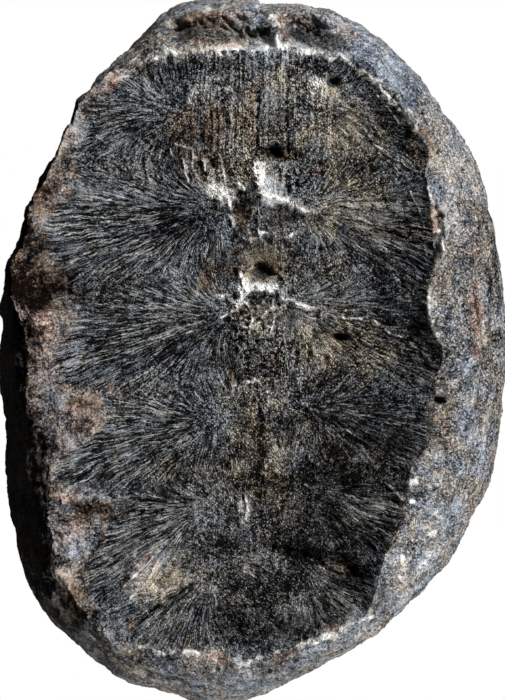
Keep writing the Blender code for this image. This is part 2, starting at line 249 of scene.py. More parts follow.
def lines(x, y, table, column=0):
    """Sum of a table's narrow ridges or cracks, each a bell-shaped profile along a line of straight runs.

    A row holds a height, a half width, a strength of colour and the line's points. Column 0 sums the
    heights, and column 2 the strengths of colour.
    """
    total = np.zeros_like(x)
    for row in table:
        half_width, route = row[1], np.array(row[3])
        box = (np.abs(x - np.mean(route[:, 0])) < np.ptp(route[:, 0]) / 2 + 4 * half_width + 2)
        near = np.flatnonzero(box & (np.abs(y - np.mean(route[:, 1])) < np.ptp(route[:, 1]) / 2 + 4 * half_width + 2))
        spot = np.stack([x[near], y[near]], axis=1)
        wobble = 0.7 * half_width * np.stack([lattice_noise(spot / 0.5, seed) for seed in (301, 302)], axis=1)
        spot = spot + wobble
        distance = np.full(len(near), np.inf)
        for start, end in zip(route[:-1], route[1:]):
            run = end - start
            part = np.clip((spot - start) @ run / (run @ run), 0, 1)
            distance = np.minimum(distance, np.hypot(*(spot - start - part[:, None] * run).T))
        patchy = 0.7 + 0.5 * rough_noise(spot / 0.4, 303, 3)
        total[near] += row[column] * patchy * np.exp(-((distance / half_width) ** 2))
    return total


# The backbone
# A row of vertebrae stands on the midline, broken open by the split: chalk-white ridges of bone cross
# between deep brown hollows. Lines are height, half width, whiteness and points; spots are as in spots().
BACKBONE_X = 0.5
BACKBONE_HALF_WIDTH = 2.0
BACKBONE_HEIGHT = 0.35
BONE_RIDGES = [
    (0.6, 0.42, 1.5, [(0.5, 15.6), (0.6, 14.6), (0.7, 13.6), (1.0, 12.9)]),
    (0.45, 0.26, 1.2, [(1.0, 12.9), (2.7, 12.7), (4.1, 11.9)]),
    (0.25, 0.17, 0.45, [(4.1, 11.9), (5.6, 11.5), (7.1, 10.9)]),
    (0.35, 0.36, 0.7, [(-3.8, 13.7), (-2.9, 13.4), (-2.2, 12.7)]),
    (0.3, 0.18, 0.55, [(-2.2, 12.7), (-1.8, 11.8), (-1.7, 10.7)]),
    (0.25, 0.19, 0.8, [(-1.5, 14.2), (-0.8, 13.7)]),
    (0.25, 0.1, 0.45, [(0.5, 12.8), (0.5, 9.8)]),
    (0.3, 0.2, 0.7, [(-1.2, 9.7), (-0.1, 9.4), (1.1, 9.9)]),
    (0.25, 0.18, 0.5, [(1.9, 9.5), (3.6, 9.8)]),
    (0.4, 0.24, 1.1, [(-1.0, 6.3), (-0.7, 5.2), (-1.2, 4.3)]),
    (0.5, 0.27, 1.3, [(-0.6, 5.1), (0.2, 5.5), (0.9, 5.2), (1.8, 5.3), (2.6, 4.3)]),
    (0.35, 0.24, 0.9, [(2.2, 4.5), (3.8, 4.0), (5.1, 3.5), (5.9, 3.1)]),
    (0.25, 0.17, 0.75, [(5.9, 3.1), (7.8, 2.7), (9.6, 2.7), (10.6, 2.2)]),
    (0.3, 0.17, 0.5, [(1.8, 4.2), (1.7, 2.0)]),
    (0.35, 0.3, 0.9, [(-3.0, 4.5), (-2.2, 4.5), (-1.4, 3.7)]),
    (0.2, 0.14, 0.5, [(-1.7, 2.7), (-1.2, 2.2), (0.0, 2.4)]),
    (0.25, 0.14, 0.8, [(0.1, -2.3), (0.6, -2.9), (1.3, -3.5)]),
    (0.2, 0.12, 0.5, [(1.3, -3.5), (1.3, -4.4)]),
]
BONE_CRACKS = [
    (-0.4, 0.2, 0, [(0.3, 21.9), (0.4, 19.0), (0.3, 16.6)]),
    (-0.2, 0.14, 0, [(1.4, 24.6), (1.3, 17.8)]),
    (-0.3, 0.18, 0, [(2.9, 23.5), (2.8, 20.0), (3.0, 17.0)]),
    (-0.25, 0.15, 0, [(3.0, 3.7), (4.5, 3.4), (5.6, 2.7)]),
]
BONE_HOLLOWS = [
    (1.6, 16.9, 0.75, 0.5, 0, -1.1),
    (3.0, 16.4, 1.1, 0.6, -10, -0.6),
    (-4.5, 18.1, 0.68, 1.27, 0, -0.35),
    (-1.1, 12.9, 0.51, 0.42, 0, -0.35),
    (-1.1, 11.6, 0.75, 1.5, 0, -0.55),
    (2.2, 11.4, 1.61, 1.27, 0, -0.6),
    (1.4, 9.4, 0.42, 0.21, 0, -0.35),
    (2.2, 9.3, 0.34, 0.21, 0, -0.3),
    (0.8, 7.6, 2.3, 1.8, 0, -0.8),
    (0.8, 6.7, 0.85, 0.59, 0, -1.2),
    (0.7, 4.0, 1.1, 0.68, 0, -0.6),
    (-0.4, 2.5, 0.3, 0.3, 0, -0.3),
    (-1.2, 3.2, 0.34, 0.21, 0, -0.25),
    (0.6, -5.6, 0.42, 0.51, 0, -0.35),
]
BONE_NETWORK = [
    (0.25, 0.12, 0.6, [(0.9, -2.8), (1.5, -2.3), (2.2, -3.2)]),
    (0.22, 0.1, 0.5, [(-2.6, -3.1), (-1.6, -2.5), (-1.1, -3.6)]),
    (0.22, 0.1, 0.45, [(-0.4, -4.8), (0.4, -4.3), (0.9, -5.3)]),
    (0.2, 0.1, 0.4, [(-0.7, -12.2), (-0.4, -13.6), (-1.0, -14.9)]),
    (0.3, 0.13, 0.6, [(-1.8, 3.3), (-0.6, 4.0), (0.2, 3.6), (1.3, 4.2)]),
    (0.3, 0.12, 0.55, [(-1.1, 2.7), (0.0, 3.2), (0.8, 2.9), (1.5, 3.6)]),
    (0.25, 0.12, 0.5, [(-1.4, 2.1), (-0.2, 1.9), (0.8, 2.4), (1.7, 1.7)]),
    (0.25, 0.11, 0.5, [(-0.6, 4.0), (0.0, 3.2), (-0.2, 1.9)]),
    (0.25, 0.11, 0.5, [(0.8, 2.9), (0.8, 2.4)]),
    (0.25, 0.14, 0.6, [(-3.0, -2.3), (-2.0, -3.6)]),
    (0.25, 0.13, 0.6, [(-1.7, -3.0), (-0.7, -2.7), (0.5, -2.6)]),
    (0.2, 0.12, 0.2, [(3.2, -4.0), (4.2, -4.6), (5.2, -5.2)]),
]
SMOOTH_PLACES = [
    (8.5, -7.0, 6.5, 4.5, 0, 0.28),
    (7.0, -15.0, 6.0, 4.5, -30, 0.28),
    (0.0, -20.5, 9.0, 6.0, 0, 0.15),
    (0.6, -7.0, 2.5, 7.0, 0, 0.35),
    (0.8, 7.9, 2.5, 1.9, 0, 1.0),
    (-0.9, 11.8, 0.9, 1.9, 0, 0.8),
    (2.1, 11.2, 1.5, 1.4, 0, 0.7),
    (3.2, 2.8, 1.3, 1.2, 0, 0.8),
    (-2.8, 8.0, 1.2, 2.4, 0, 0.5),
    (-4.0, 18.0, 2.4, 2.8, 0, 0.55),
    (1.8, 20.0, 1.6, 3.6, 0, 0.5),
    (7.0, 17.5, 4.2, 3.0, 0, 0.4),
    (7.5, 10.0, 5.0, 1.5, 0, 0.3),
    (7.5, 0.5, 4.0, 2.5, 0, 0.3),
    (-7.2, -19.0, 2.4, 1.6, 45, 0.45),
    (0.2, 5.3, 2.4, 0.9, 0, 0.8),
    (1.0, 14.2, 1.2, 1.6, -50, 1.0),
    (2.6, 12.8, 1.6, 0.8, -15, 0.4),
    (0.3, 2.9, 2.0, 1.5, 0, 0.4),
]
PINHOLES = [
    (3.7, -0.3, 0.25, 0.34, 0, -0.35),
    (4.8, -0.3, 0.25, 0.34, 0, -0.35),
    (6.2, -0.8, 0.25, 0.42, 0, -0.35),
    (5.7, 8.5, 0.3, 0.3, 0, -0.35),
    (5.6, 15.0, 0.34, 0.25, 0, -0.25),
    (7.5, 1.1, 0.68, 0.38, -5, -1.0),
    (6.8, 22.7, 0.6, 0.5, 0, -0.8),
    (-6.5, -0.4, 0.34, 0.21, 0, -0.3),
    (15.9, -4.3, 0.55, 0.4, 0, -1.2),
]

# The ledge behind the last vertebra: the tail end of the dish lies a step lower
LEDGE_Y = -16.4
LEDGE_SAG = 0.055
LEDGE_HALF_WIDTH = 7.6
LEDGE_DROP = 0.7


def ledge(x, y):
    """Step down to the tail end of the dish, across a line that bows towards the head."""
    line = LEDGE_Y - LEDGE_SAG * (x - BACKBONE_X) ** 2
    ragged = 0.25 * lattice_noise(np.stack([x, y], axis=1) / 0.8, 311)
    beyond = 0.5 + 0.5 * np.tanh((line - y + ragged) / 0.25)
    inside = np.exp(-(((x - BACKBONE_X) / LEDGE_HALF_WIDTH) ** 4))
    tail = np.exp(-np.clip(line - y, 0, None) / 6.0)
    return -LEDGE_DROP * beyond * inside * tail


# The rib plates
# Each rib's plate of bone grew out from the rib's root. Its fibres run out along the rib; those that leave
# sideways bend round until they stand square to it, further out than BEND, which differs from side to side
# and grows along the rib, slowly at first. A row holds the root, the tip, and BEND at the root towards the
# head and the tail.
RIBS = [
    ((-5.9, 20.3), (-14.2, 19.3), 3.4, 2.2),
    ((-2.8, 11.8), (-16.2, 10.9), 1.6, 2.4),
    ((-1.7, 3.2), (-16.2, -1.3), 1.6, 2.0),
    ((-2.6, -5.6), (-16.5, -10.6), 1.4, 2.0),
    ((-2.9, -12.8), (-13.8, -18.5), 1.7, 2.6),
    ((-3.2, -18.4), (-9.5, -23.8), 2.4, 2.4),
    ((4.5, 21.5), (12.9, 18.8), 2.4, 2.2),
    ((3.7, 12.3), (15.1, 9.5), 1.5, 1.8),
    ((2.6, 3.9), (15.5, 0.2), 1.4, 1.9),
    ((4.0, -4.6), (14.6, -8.1), 1.5, 1.9),
    ((4.3, -11.4), (12.2, -16.1), 1.6, 2.2),
    ((3.5, -17.5), (9.3, -21.9), 2.4, 2.4),
]
BEND_GROWTH = 0.55
SLOW_GROWTH_LENGTH = 6.0
RIB_CLARITY = (0.8, 1.0, 0.9, 1.0, 1.0, 0.7, 0.5, 0.75, 0.65, 0.7, 0.9, 0.75)
COLUMN_HALF_WIDTH = 2.7
HEAD_COLUMN_HALF_WIDTH = 6.0
RIB_HEIGHT = 0.3
RIB_WIDTH = 1.1
FINE_STRAND = (0.09, 0.8)
STRAND_BUNDLE = (0.14, 1.3)
BROAD_BUNDLE = (0.5, 3.4)
FIBRE_EDGES = [
    (0.25, 0.1, 0.35, [(-10.6, 16.0), (-10.4, 15.1), (-10.0, 14.6)]),
    (0.25, 0.1, 0.38, [(-9.1, 15.9), (-9.0, 15.0), (-8.7, 14.4)]),
    (0.25, 0.1, 0.38, [(-7.9, 16.0), (-7.8, 15.2), (-7.5, 14.6)]),
    (0.25, 0.1, 0.38, [(-7.0, 17.0), (-6.8, 16.2)]),
    (0.3, 0.11, 0.45, [(-5.9, 16.2), (-5.8, 15.2), (-5.5, 14.4)]),
    (0.3, 0.1, 0.45, [(-5.1, 16.9), (-5.1, 15.6), (-4.8, 14.6)]),
    (0.3, 0.11, 0.4, [(-4.2, 16.3), (-4.1, 15.2)]),
    (0.3, 0.12, 0.4, [(-6.6, 17.5), (-5.4, 17.0), (-4.4, 17.2), (-3.2, 16.8)]),
    (0.2, 0.1, 0.45, [(-2.6, 15.9), (-2.4, 14.6), (-2.2, 13.6)]),
    (0.18, 0.11, 0.7, [(7.4, 20.0), (8.6, 19.4), (9.5, 18.7), (10.3, 17.4), (11.8, 16.2), (14.2, 15.0)]),
    (0.18, 0.1, 0.6, [(9.6, 22.6), (11.0, 21.0), (12.4, 19.2)]),
    (0.15, 0.09, 0.45, [(9.6, 3.1), (10.6, 2.3), (11.6, 1.4), (13.0, 1.0)]),
    (0.12, 0.1, 0.6, [(-1.7, 3.3), (-3.9, 2.0), (-5.6, 1.4)]),
    (0.1, 0.08, 0.6, [(13.2, 13.6), (13.9, 12.2), (14.5, 10.3)]),
    (0.12, 0.1, 0.35, [(8.5, 19.6), (10.0, 19.2), (10.8, 18.1), (11.1, 17.0)]),
    (0.12, 0.1, 0.35, [(7.4, 18.8), (8.0, 18.2), (8.5, 17.7)]),
    (0.2, 0.1, 0.7, [(13.3, 0.7), (14.4, -0.3), (15.1, -0.9), (15.7, -1.1)]),
    (0.1, 0.08, 0.25, [(3.9, -4.2), (5.0, -5.0), (6.4, -5.4), (7.6, -5.6)]),
    (0.08, 0.08, 0.5, [(7.0, -6.3), (8.8, -7.3), (10.1, -8.1), (11.3, -8.4)]),
    (0.1, 0.1, 0.2, [(4.0, -4.5), (5.6, -5.9), (6.8, -6.9)]),
    (0.12, 0.12, 0.25, [(4.4, -11.3), (5.9, -12.5), (7.9, -13.5), (10.1, -14.3)]),
    (0.2, 0.17, 0.5, [(11.2, -11.2), (12.7, -12.6)]),
    (0.3, 0.13, 0.35, [(-7.7, -16.7), (-9.6, -18.6), (-11.2, -20.2)]),
    (0.3, 0.12, 0.15, [(-8.0, -17.9), (-9.0, -19.6), (-10.4, -21.0)]),
    (0.3, 0.12, 0.4, [(-5.6, -19.3), (-7.3, -20.4), (-9.2, -21.3)]),
    (0.2, 0.09, 0.3, [(-6.6, -17.4), (-7.7, -18.9), (-8.9, -20.3)]),
]
FIBRE_CRACKS = [
    (-0.25, 0.15, 0, [(-8.5, 16.2), (-8.3, 14.4)]),
    (-0.25, 0.15, 0, [(-6.6, 16.0), (-6.3, 14.2)]),
    (-0.25, 0.15, 0, [(-5.5, 16.0), (-5.3, 14.4)]),
    (-0.25, 0.15, 0, [(-4.6, 16.0), (-4.4, 14.6)]),
    (-0.25, 0.17, 0, [(-3.4, 16.6), (-3.3, 14.6)]),
    (-0.15, 0.1, 0, [(-7.4, 10.0), (-9.5, 9.1), (-12.9, 7.8), (-16.2, 6.8)]),
    (-0.15, 0.1, 0, [(10.4, 10.3), (12.1, 9.9), (14.4, 9.7)]),
    (-0.18, 0.12, 0, [(-3.1, -18.6), (-5.7, -20.4), (-8.7, -22.2)]),
    (-0.1, 0.1, 0, [(-4.4, -21.6), (-5.9, -23.1), (-7.4, -24.6)]),
    (-0.12, 0.1, 0, [(-2.6, -13.1), (-5.3, -14.4), (-8.7, -15.9), (-11.9, -17.8)]),
    (-0.15, 0.14, 0, [(14.0, 0.0), (14.9, -1.4), (15.6, -1.7)]),
]


def nearest_rib(x, y):
    """The number of the nearest rib on the point's own side of the backbone, and by how much it is nearer."""
    raggedness = 0.8 * rough_noise(np.stack([x, y], axis=1) / 1.0, 321, 3)
    best = np.full(x.shape, np.inf)
    second = np.full(x.shape, np.inf)
    chosen = np.zeros(x.shape, int)
    for number, (root, tip, *_) in enumerate(RIBS):
        direction = np.subtract(tip, root) / math.dist(root, tip)
        across = np.abs((y - root[1]) * direction[0] - (x - root[0]) * direction[1])
        across = across + raggedness * (-1) ** number
        across = np.where((x < BACKBONE_X) == (root[0] < BACKBONE_X), across, np.inf)
        better = across < best
        second = np.where(better, best, np.minimum(second, across))
        chosen[better] = number
        best[better] = across[better]
    return chosen, second - best


def fibre_angle(x, y, number):
    """Which fibre of a rib's plate passes through a point, as an angle, and the point's place on the rib.

    With u along the rib from its root, v across it and g = BEND times (1 - exp(-|v| / BEND)), a fibre is
    a line on which the angle of (u, g) stays the same.
    """
    roots, tips = np.array([rib[0] for rib in RIBS])[number], np.array([rib[1] for rib in RIBS])[number]
    lengths = np.hypot(*(tips - roots).T)
    cosine, sine = ((tips - roots) / lengths[:, None]).T
    along = (x - roots[:, 0]) * cosine + (y - roots[:, 1]) * sine
    across = ((y - roots[:, 1]) * cosine - (x - roots[:, 0]) * sine) * np.sign(cosine)
    bends = np.array([rib[2:4] for rib in RIBS])[number]
    out = np.clip(along, 0, None)
    bend = np.where(across > 0, bends[:, 0], bends[:, 1]) + BEND_GROWTH * out**2 / (out + SLOW_GROWTH_LENGTH)
    held = bend * (1 - np.exp(-np.abs(across) / bend)) * np.sign(across)
    return np.arctan2(held, along), along, across, lengths


def strands(angle, run, spread, number, size, seed):
    """Random strands from -1 to 1, drawn out along the fibres, about as wide everywhere.

    Where a radian of fibres spans more millimetres, it holds twice as many strands; the two counts that
    lie nearest are blended.
    """
    width, length = size
    level = np.log2(np.clip(spread, 0.5, 60.0) / width)
    lower = np.floor(level)
    upper_share = level - lower
    total = 0
    for step, weight in ((0, 1 - upper_share), (1, upper_share)):
        count = 2.0 ** (lower + step)
        place = np.stack([angle * count + 37 * number, run / length + 11 * (lower + step)], axis=1)
        total = total + weight * lattice_noise(place, seed)
    return total / np.hypot(upper_share, 1 - upper_share)


def wavering(x, y):
    """The point moved a little to and fro, so that fibres waver."""
    place = np.stack([x, y], axis=1)
    shift = [0.18 * lattice_noise(place / 1.9 + 50, seed) + 0.04 * lattice_noise(place / 0.5, seed + 2)
             for seed in (61, 65)]
    return x + shift[0], y + shift[1]


def fibres(x, y):
    """The strands in three sizes, the rib's own ridge, the share of backbone and the marks for the finish.

    Over the backbone, between the roots of the ribs, short upright flakes take the place of the fans. The
    marks are which fibre it is, how far along it, how many millimetres a radian of fibres spans there, and
    how clear the fibres are: least of all where two plates meet.
    """
    wx, wy = wavering(x, y)
    number, lead = nearest_rib(x, y)
    angle, along, across, rib_length = fibre_angle(wx, wy, number)
    step = 0.02
    turned = [fibre_angle(wx + dx, wy + dy, number)[0] - angle for dx, dy in ((step, 0), (0, step))]
    turned = [(change + math.pi) % (2 * math.pi) - math.pi for change in turned]
    spread = step / np.clip(np.hypot(*turned), 1e-6, None)
    run = np.hypot(along, across)
    half_width = COLUMN_HALF_WIDTH - 1.3 * eased(-y, -1.0, 3.0)
    half_width = half_width + (HEAD_COLUMN_HALF_WIDTH - COLUMN_HALF_WIDTH) * eased(y, 12.5, 16.0)
    from_middle = np.abs(x - BACKBONE_X) + 0.5 * lattice_noise(np.stack([x, y], axis=1) / 1.3, 327)
    column = eased(half_width - from_middle, -0.6, 0.6) * eased(y, -18.5, -16.0)
    flake_length = 0.45 + 1.8 * eased(y, 14.0, 17.0) + 1.0 * eased(-y, 4.0, 8.0)
    made = []
    for seed, (width, length) in enumerate((FINE_STRAND, STRAND_BUNDLE, BROAD_BUNDLE), start=71):
        fan = strands(angle, run, spread, number, (width, length), seed)
        flakes = lattice_noise(np.stack([wx / (1.3 * width), wy / (flake_length * length)], axis=1), seed + 10)
        made.append(fan + (flakes - fan) * column)
    ridge = np.exp(-((across / RIB_WIDTH) ** 2)) * eased(along, -0.5, 1.5)
    ridge = ridge * eased(-along, -rib_length, -0.3 * rib_length)
    clear = 0.5 + 0.5 * eased(lead + 1.5 * lattice_noise(np.stack([x, y], axis=1) / 1.4, 329), 0.8, 4.5)
    clear = clear * np.array(RIB_CLARITY)[number] * eased(run, 0.4, 4.0)
    clear = clear * (1 - 0.8 * np.exp(-(((x - BACKBONE_X) / 4.0) ** 4)) * eased(-y, 18.0, 20.5))
    marks = {
        "fan": angle + 7.0 * number,
        "run": run,
        "spread": np.clip(spread, 0.5, 60.0),
        "clear": clear * (1 - column),
    }
    return made, RIB_HEIGHT * ridge * (1 - column), column, marks


# The margin
# Towards the rim the bone gives way to bare stone, in a ragged line: there the fibres end, and lumps and
# hollows of rock take their place. Beyond the crest at the head end lies a trench with pits.
BONE_OUTLINE = [
    (15.5, 0.4), (14.9, 2.1), (15.1, 4.2), (15.2, 6.4), (15.4, 8.5), (15.4, 10.2), (15.2, 12.0),
    (14.7, 13.7), (14.6, 15.1), (15.0, 16.5), (14.2, 17.8), (13.2, 19.1), (12.1, 20.5), (11.0, 21.9),
    (10.0, 23.2), (8.4, 24.1), (6.6, 24.7), (4.0, 25.4), (0.8, 25.5), (-1.1, 25.4), (-5.3, 24.9),
    (-7.4, 24.9), (-8.7, 24.1), (-10.6, 22.9), (-12.1, 21.8), (-13.1, 20.7), (-13.8, 19.7),
    (-14.3, 18.6), (-14.8, 17.4), (-15.1, 16.1), (-14.8, 14.8), (-15.1, 13.2), (-16.5, 12.0),
    (-17.3, 10.6), (-17.1, 8.9), (-16.3, 7.4), (-15.5, 5.9), (-15.1, 4.6), (-14.8, 3.0), (-15.3, 1.4),
    (-16.2, 0.3), (-16.6, -1.0), (-16.3, -2.5), (-14.1, -3.3), (-12.7, -4.2), (-12.6, -5.5),
    (-13.1, -7.1), (-15.5, -8.6), (-16.6, -9.5), (-16.2, -10.9), (-12.9, -11.9), (-11.9, -13.2),
    (-11.9, -14.4), (-14.3, -18.7), (-13.6, -20.4), (-12.6, -21.5), (-11.1, -23.1), (-9.1, -24.7),
    (-7.4, -25.1), (-5.7, -25.4), (-4.0, -25.5), (-2.3, -26.0), (-0.2, -26.6), (1.5, -26.2),
    (3.6, -25.4), (5.6, -24.3), (7.0, -23.4), (9.0, -22.2), (10.0, -20.9), (10.6, -19.3),
    (11.5, -17.1), (11.9, -15.4), (12.5, -14.0), (13.0, -12.3), (12.7, -10.6), (13.5, -9.1),
    (14.2, -7.8), (14.9, -6.4), (15.2, -4.7), (15.4, -3.0), (15.7, -1.3),
]
MARGIN_LUMPS = [
    (-17.9, 2.0, 1.5, 1.4, 0, 0.7),
    (-16.5, 0.4, 1.7, 1.19, 0, 0.2),
    (-15.3, -6.0, 2.54, 1.1, 5, 0.4),
    (-14.7, -15.3, 2.12, 1.53, 10, 0.75),
    (-14.6, -12.4, 2.2, 0.42, 4, 0.35),
    (-16.3, 13.1, 2.04, 1.53, -35, 0.35),
    (-11.7, 22.7, 1.7, 0.76, 38, 0.35),
    (-8.9, -18.0, 2.04, 0.93, 48, 0.35),
    (-8.5, -20.4, 2.54, 1.1, 25, 0.35),
    (-2.1, 28.5, 2.2, 0.68, 0, 0.3),
    (16.2, 6.4, 1.3, 1.1, 0, 0.45),
    (15.6, 13.2, 0.8, 1.6, 10, 0.35),
    (15.4, 3.0, 0.8, 1.6, 10, 0.3),
]
MARGIN_HOLLOWS = [
    (-17.6, 5.4, 2.9, 1.8, -15, -1.4),
    (14.7, 17.0, 0.8, 1.3, 0, -0.8),
    (15.5, 10.8, 0.32, 1.5, 6, -0.8),
    (15.3, 8.6, 0.45, 1.3, -6, -0.8),
    (15.7, 4.8, 0.5, 0.3, 0, -0.6),
    (15.6, -8.0, 0.5, 1.2, 15, -0.5),
    (-14.3, -4.7, 1.44, 0.5, 0, -0.5),
    (-13.9, -13.6, 2.2, 0.95, -5, -0.75),
    (-15.3, -19.9, 1.7, 2.54, 0, -0.25),
    (8.0, -18.7, 1.19, 0.59, -25, -0.6),
    (-5.1, -22.3, 0.93, 0.76, 0, -0.25),
    (-5.8, 27.1, 1.15, 0.85, 0, -1.6),
    (-2.6, 27.2, 2.04, 0.85, 4, -0.8),
    (0.3, 26.9, 1.19, 0.51, 0, -0.8),
    (4.7, 26.8, 2.0, 1.05, -10, -2.0),
    (2.7, 27.9, 0.45, 0.4, 0, -0.6),
]
# Pale crest lines: their whiteness is partly the rock's own and partly a painted highlight where the crests face the
# lamps.
PALE_AND_HIGHLIGHTED_CRESTS = [
    (0.25, 0.5, 0.5, [(-8.7, 24.4), (-7.4, 25.2), (-5.3, 25.2), (-3.2, 24.8), (-1.1, 25.4), (0.8, 25.5),
                       (4.0, 25.3), (6.6, 24.8), (8.4, 24.1), (10.1, 22.9), (11.5, 21.5), (13.5, 19.2)]),
    (0.3, 0.15, 0.75, [(7.6, 24.6), (9.2, 23.6), (10.6, 22.6), (11.4, 21.4), (12.6, 20.2), (13.6, 18.8), (14.6, 17.6)]),
    (0.25, 0.16, 0.6, [(14.7, 14.6), (15.0, 13.0), (15.6, 11.8), (15.9, 9.6), (16.2, 8.0)]),
    (0.2, 0.12, 0.4, [(14.7, 5.2), (14.9, 3.6), (15.4, 1.6), (16.0, 0.6)]),
    (0.15, 0.28, 0.9, [(-1.5, -26.7), (0.0, -26.3), (4.0, -25.0), (7.2, -24.0), (10.0, -22.5)]),
    (0.15, 0.24, 0.7, [(-9.5, -25.0), (-7.8, -25.6), (-4.5, -25.6)]),
    (0.1, 0.45, 0.3, [(14.7, 5.5), (15.0, 3.2), (15.9, 1.5), (16.6, -0.2)]),
    (0.1, 0.35, 0.4, [(15.8, -13.5), (14.9, -17.3), (13.6, -19.8), (11.6, -22.4)]),
]
HEAD_TRENCH = [
    (-0.6, 0.8, 0, [(-7.4, 27.2), (-5.0, 27.0), (-1.5, 27.0), (1.5, 26.9), (5.8, 26.7)]),
    (0.35, 0.5, 0.3, [(-8.3, 27.0), (-6.6, 28.6), (-3.6, 29.0), (0.0, 28.9), (1.9, 28.3), (4.0, 28.6), (7.0, 27.9)]),
    (0.5, 0.34, 0.9, [(1.5, 28.3), (2.1, 27.3), (1.9, 26.3), (2.4, 25.8)]),
    (-0.4, 0.25, 0, [(-1.0, 27.5), (0.3, 27.2), (1.4, 27.2)]),
]
ROCK_LUMPS = [(3.4, 0.30), (1.3, 0.18), (0.6, 0.07), (0.3, 0.05)]


def bone_cover(x, y):
    """1 where there is bone and 0 where there is bare stone, with a ragged line between them."""
    place = np.stack([x, y], axis=1)
    inside = reach(BONE_OUTLINE, np.arctan2(y, x)) - np.hypot(x, y)
    return eased(inside + 0.5 * rough_noise(place / 1.2, 331, 4), -0.45, 0.45)


def rock_height(points):
    """Lumps of weathered rock in four sizes, the two smallest sharpened into grains with pores between them."""
    total = np.zeros(len(points))
    for seed, (cell, height) in enumerate(ROCK_LUMPS, start=341):
        lump = lattice_noise(points / cell + 40, seed)
        total += height * (lump if cell > 1.0 else 1 - 2.2 * np.abs(lump))
    left = 0.5 - 0.5 * np.cos(np.arctan2(points[:, 1], points[:, 0]))
    crest = 0.9 * left * eased(points[:, 2], 15.5, 18.5) + 0.9 * (1 - left) * eased(points[:, 2], 18.8, 20.6)
    return total * (1 + crest)


# Stains and painted shade
# Minerals have tinted the bone and the stone in patches: a tan film, brown iron, pinkish rust, blue-grey,
# chalk white and black manganese. The black patches are partly manganese and partly painted shade, in the
# pits, in the head-end trench, along the right inner wall, below the head-end crest and over the tail end of
# the dish. Rows are as in spots(), and the last number is the strength.
TAN_FILM = [
    (0.5, 19.5, 5.5, 4.5, 0, 0.45),
    (0.3, -3.5, 2.8, 3.5, 0, 0.45),
    (0.8, -11.0, 2.2, 5.0, 0, 0.35),
    (6.0, -10.0, 7.0, 4.5, -15, 0.4),
    (0.5, -20.0, 9.0, 4.0, 0, 0.3),
    (-6.0, -9.5, 5.0, 2.0, -15, 0.3),
    (-1.6, 14.6, 2.6, 1.5, 0, 0.6),
    (8.0, 18.2, 3.56, 2.71, 0, 0.9),
    (8.4, 13.7, 3.73, 2.2, 0, 0.75),
    (7.2, 10.5, 3.39, 1.1, -8, 0.6),
    (6.8, 7.2, 3.05, 1.7, 0, 0.35),
    (7.8, 0.3, 4.58, 2.88, -8, 0.95),
    (0.8, 7.5, 2.37, 1.87, 0, 0.9),
    (-2.2, 15.1, 2.54, 1.87, 0, 0.55),
    (-3.8, 5.1, 1.36, 0.68, 0, 0.4),
    (-10.3, -4.7, 2.04, 1.7, 0, 0.35),
    (-1.5, -9.2, 0.85, 3.56, 0, 0.4),
    (2.3, -13.1, 0.68, 3.05, 0, 0.5),
    (0.2, 2.8, 2.4, 1.5, 0, 0.8),
    (6.7, -18.3, 1.27, 0.51, -10, 0.7),
    (-7.2, -18.4, 2.6, 1.2, 45, 0.4),
    (-7.8, -20.2, 2.4, 1.0, 27, 0.9),
    (3.2, 23.3, 1.02, 2.04, 0, 0.35),
    (6.0, 22.2, 1.9, 1.3, -20, 0.8),
]
BROWN = [
    (-19.6, 9.0, 1.0, 3.6, -12, 0.7),
    (-18.2, 14.0, 1.2, 2.4, -25, 0.5),
    (-18.9, -1.0, 0.7, 3.0, 0, 0.6),
    (-2.0, 19.0, 3.2, 3.6, 0, 0.35),
    (0.3, 2.9, 1.8, 1.3, 0, 0.5),
    (-2.6, 15.8, 2.6, 1.0, 0, 0.35),
    (-2.4, 8.3, 1.3, 2.2, 0, 0.35),
    (1.0, -1.5, 2.2, 1.8, 0, 0.4),
    (2.2, 11.4, 1.6, 1.3, 0, 0.3),
    (0.5, -9.0, 1.8, 5.0, 0, 0.3),
    (-5.1, 18.0, 2.29, 2.54, 0, 0.95),
    (-0.1, 19.4, 0.42, 2.8, 0, 0.85),
    (2.2, 16.7, 1.36, 0.68, 0, 0.9),
    (-4.0, 6.3, 0.68, 1.7, 0, 0.8),
    (-0.9, 11.5, 1.02, 1.53, 0, 0.7),
    (0.8, 6.8, 2.54, 1.53, 0, 0.6),
    (7.6, 1.1, 1.19, 0.68, 0, 0.7),
    (-1.3, -2.2, 1.02, 0.85, 0, 0.6),
    (1.9, -0.8, 0.59, 0.76, 0, 0.6),
    (7.9, -18.7, 1.7, 0.93, -25, 0.9),
    (12.3, 9.9, 2.37, 0.42, -5, 0.9),
    (14.3, 17.2, 1.1, 1.6, 0, 1.0),
    (15.4, 11.2, 0.45, 1.3, 5, 1.0),
    (19.0, 2.9, 0.45, 1.6, 0, 0.7),
    (16.0, -6.0, 0.6, 1.2, 0, 0.5),
    (15.1, 10.5, 0.85, 1.19, 0, 0.6),
    (-17.5, 5.3, 2.88, 1.87, -10, 0.9),
    (-19.0, 7.5, 1.36, 2.71, 0, 0.8),
    (-14.3, -4.5, 1.7, 0.59, 0, 0.8),
    (-13.5, -13.5, 2.1, 0.9, -5, 1.0),
    (-12.6, -15.4, 0.8, 1.2, 0, 0.4),
    (-15.0, -21.0, 2.04, 2.2, 0, 0.5),
    (-10.1, -23.7, 0.51, 1.19, 0, 0.7),
    (-17.6, 10.9, 1.19, 2.2, 0, 0.6),
    (-5.6, 27.2, 1.6, 1.2, 0, 1.0),
    (-2.9, 27.8, 2.3, 0.9, -28, 1.0),
    (4.2, 27.0, 2.4, 1.4, -8, 1.0),
    (2.7, 27.9, 0.8, 0.6, 0, 1.0),
    (-1.3, 26.2, 0.6, 0.5, 0, 0.9),
    (0.2, -16.1, 1.53, 1.02, 0, 0.4),
]
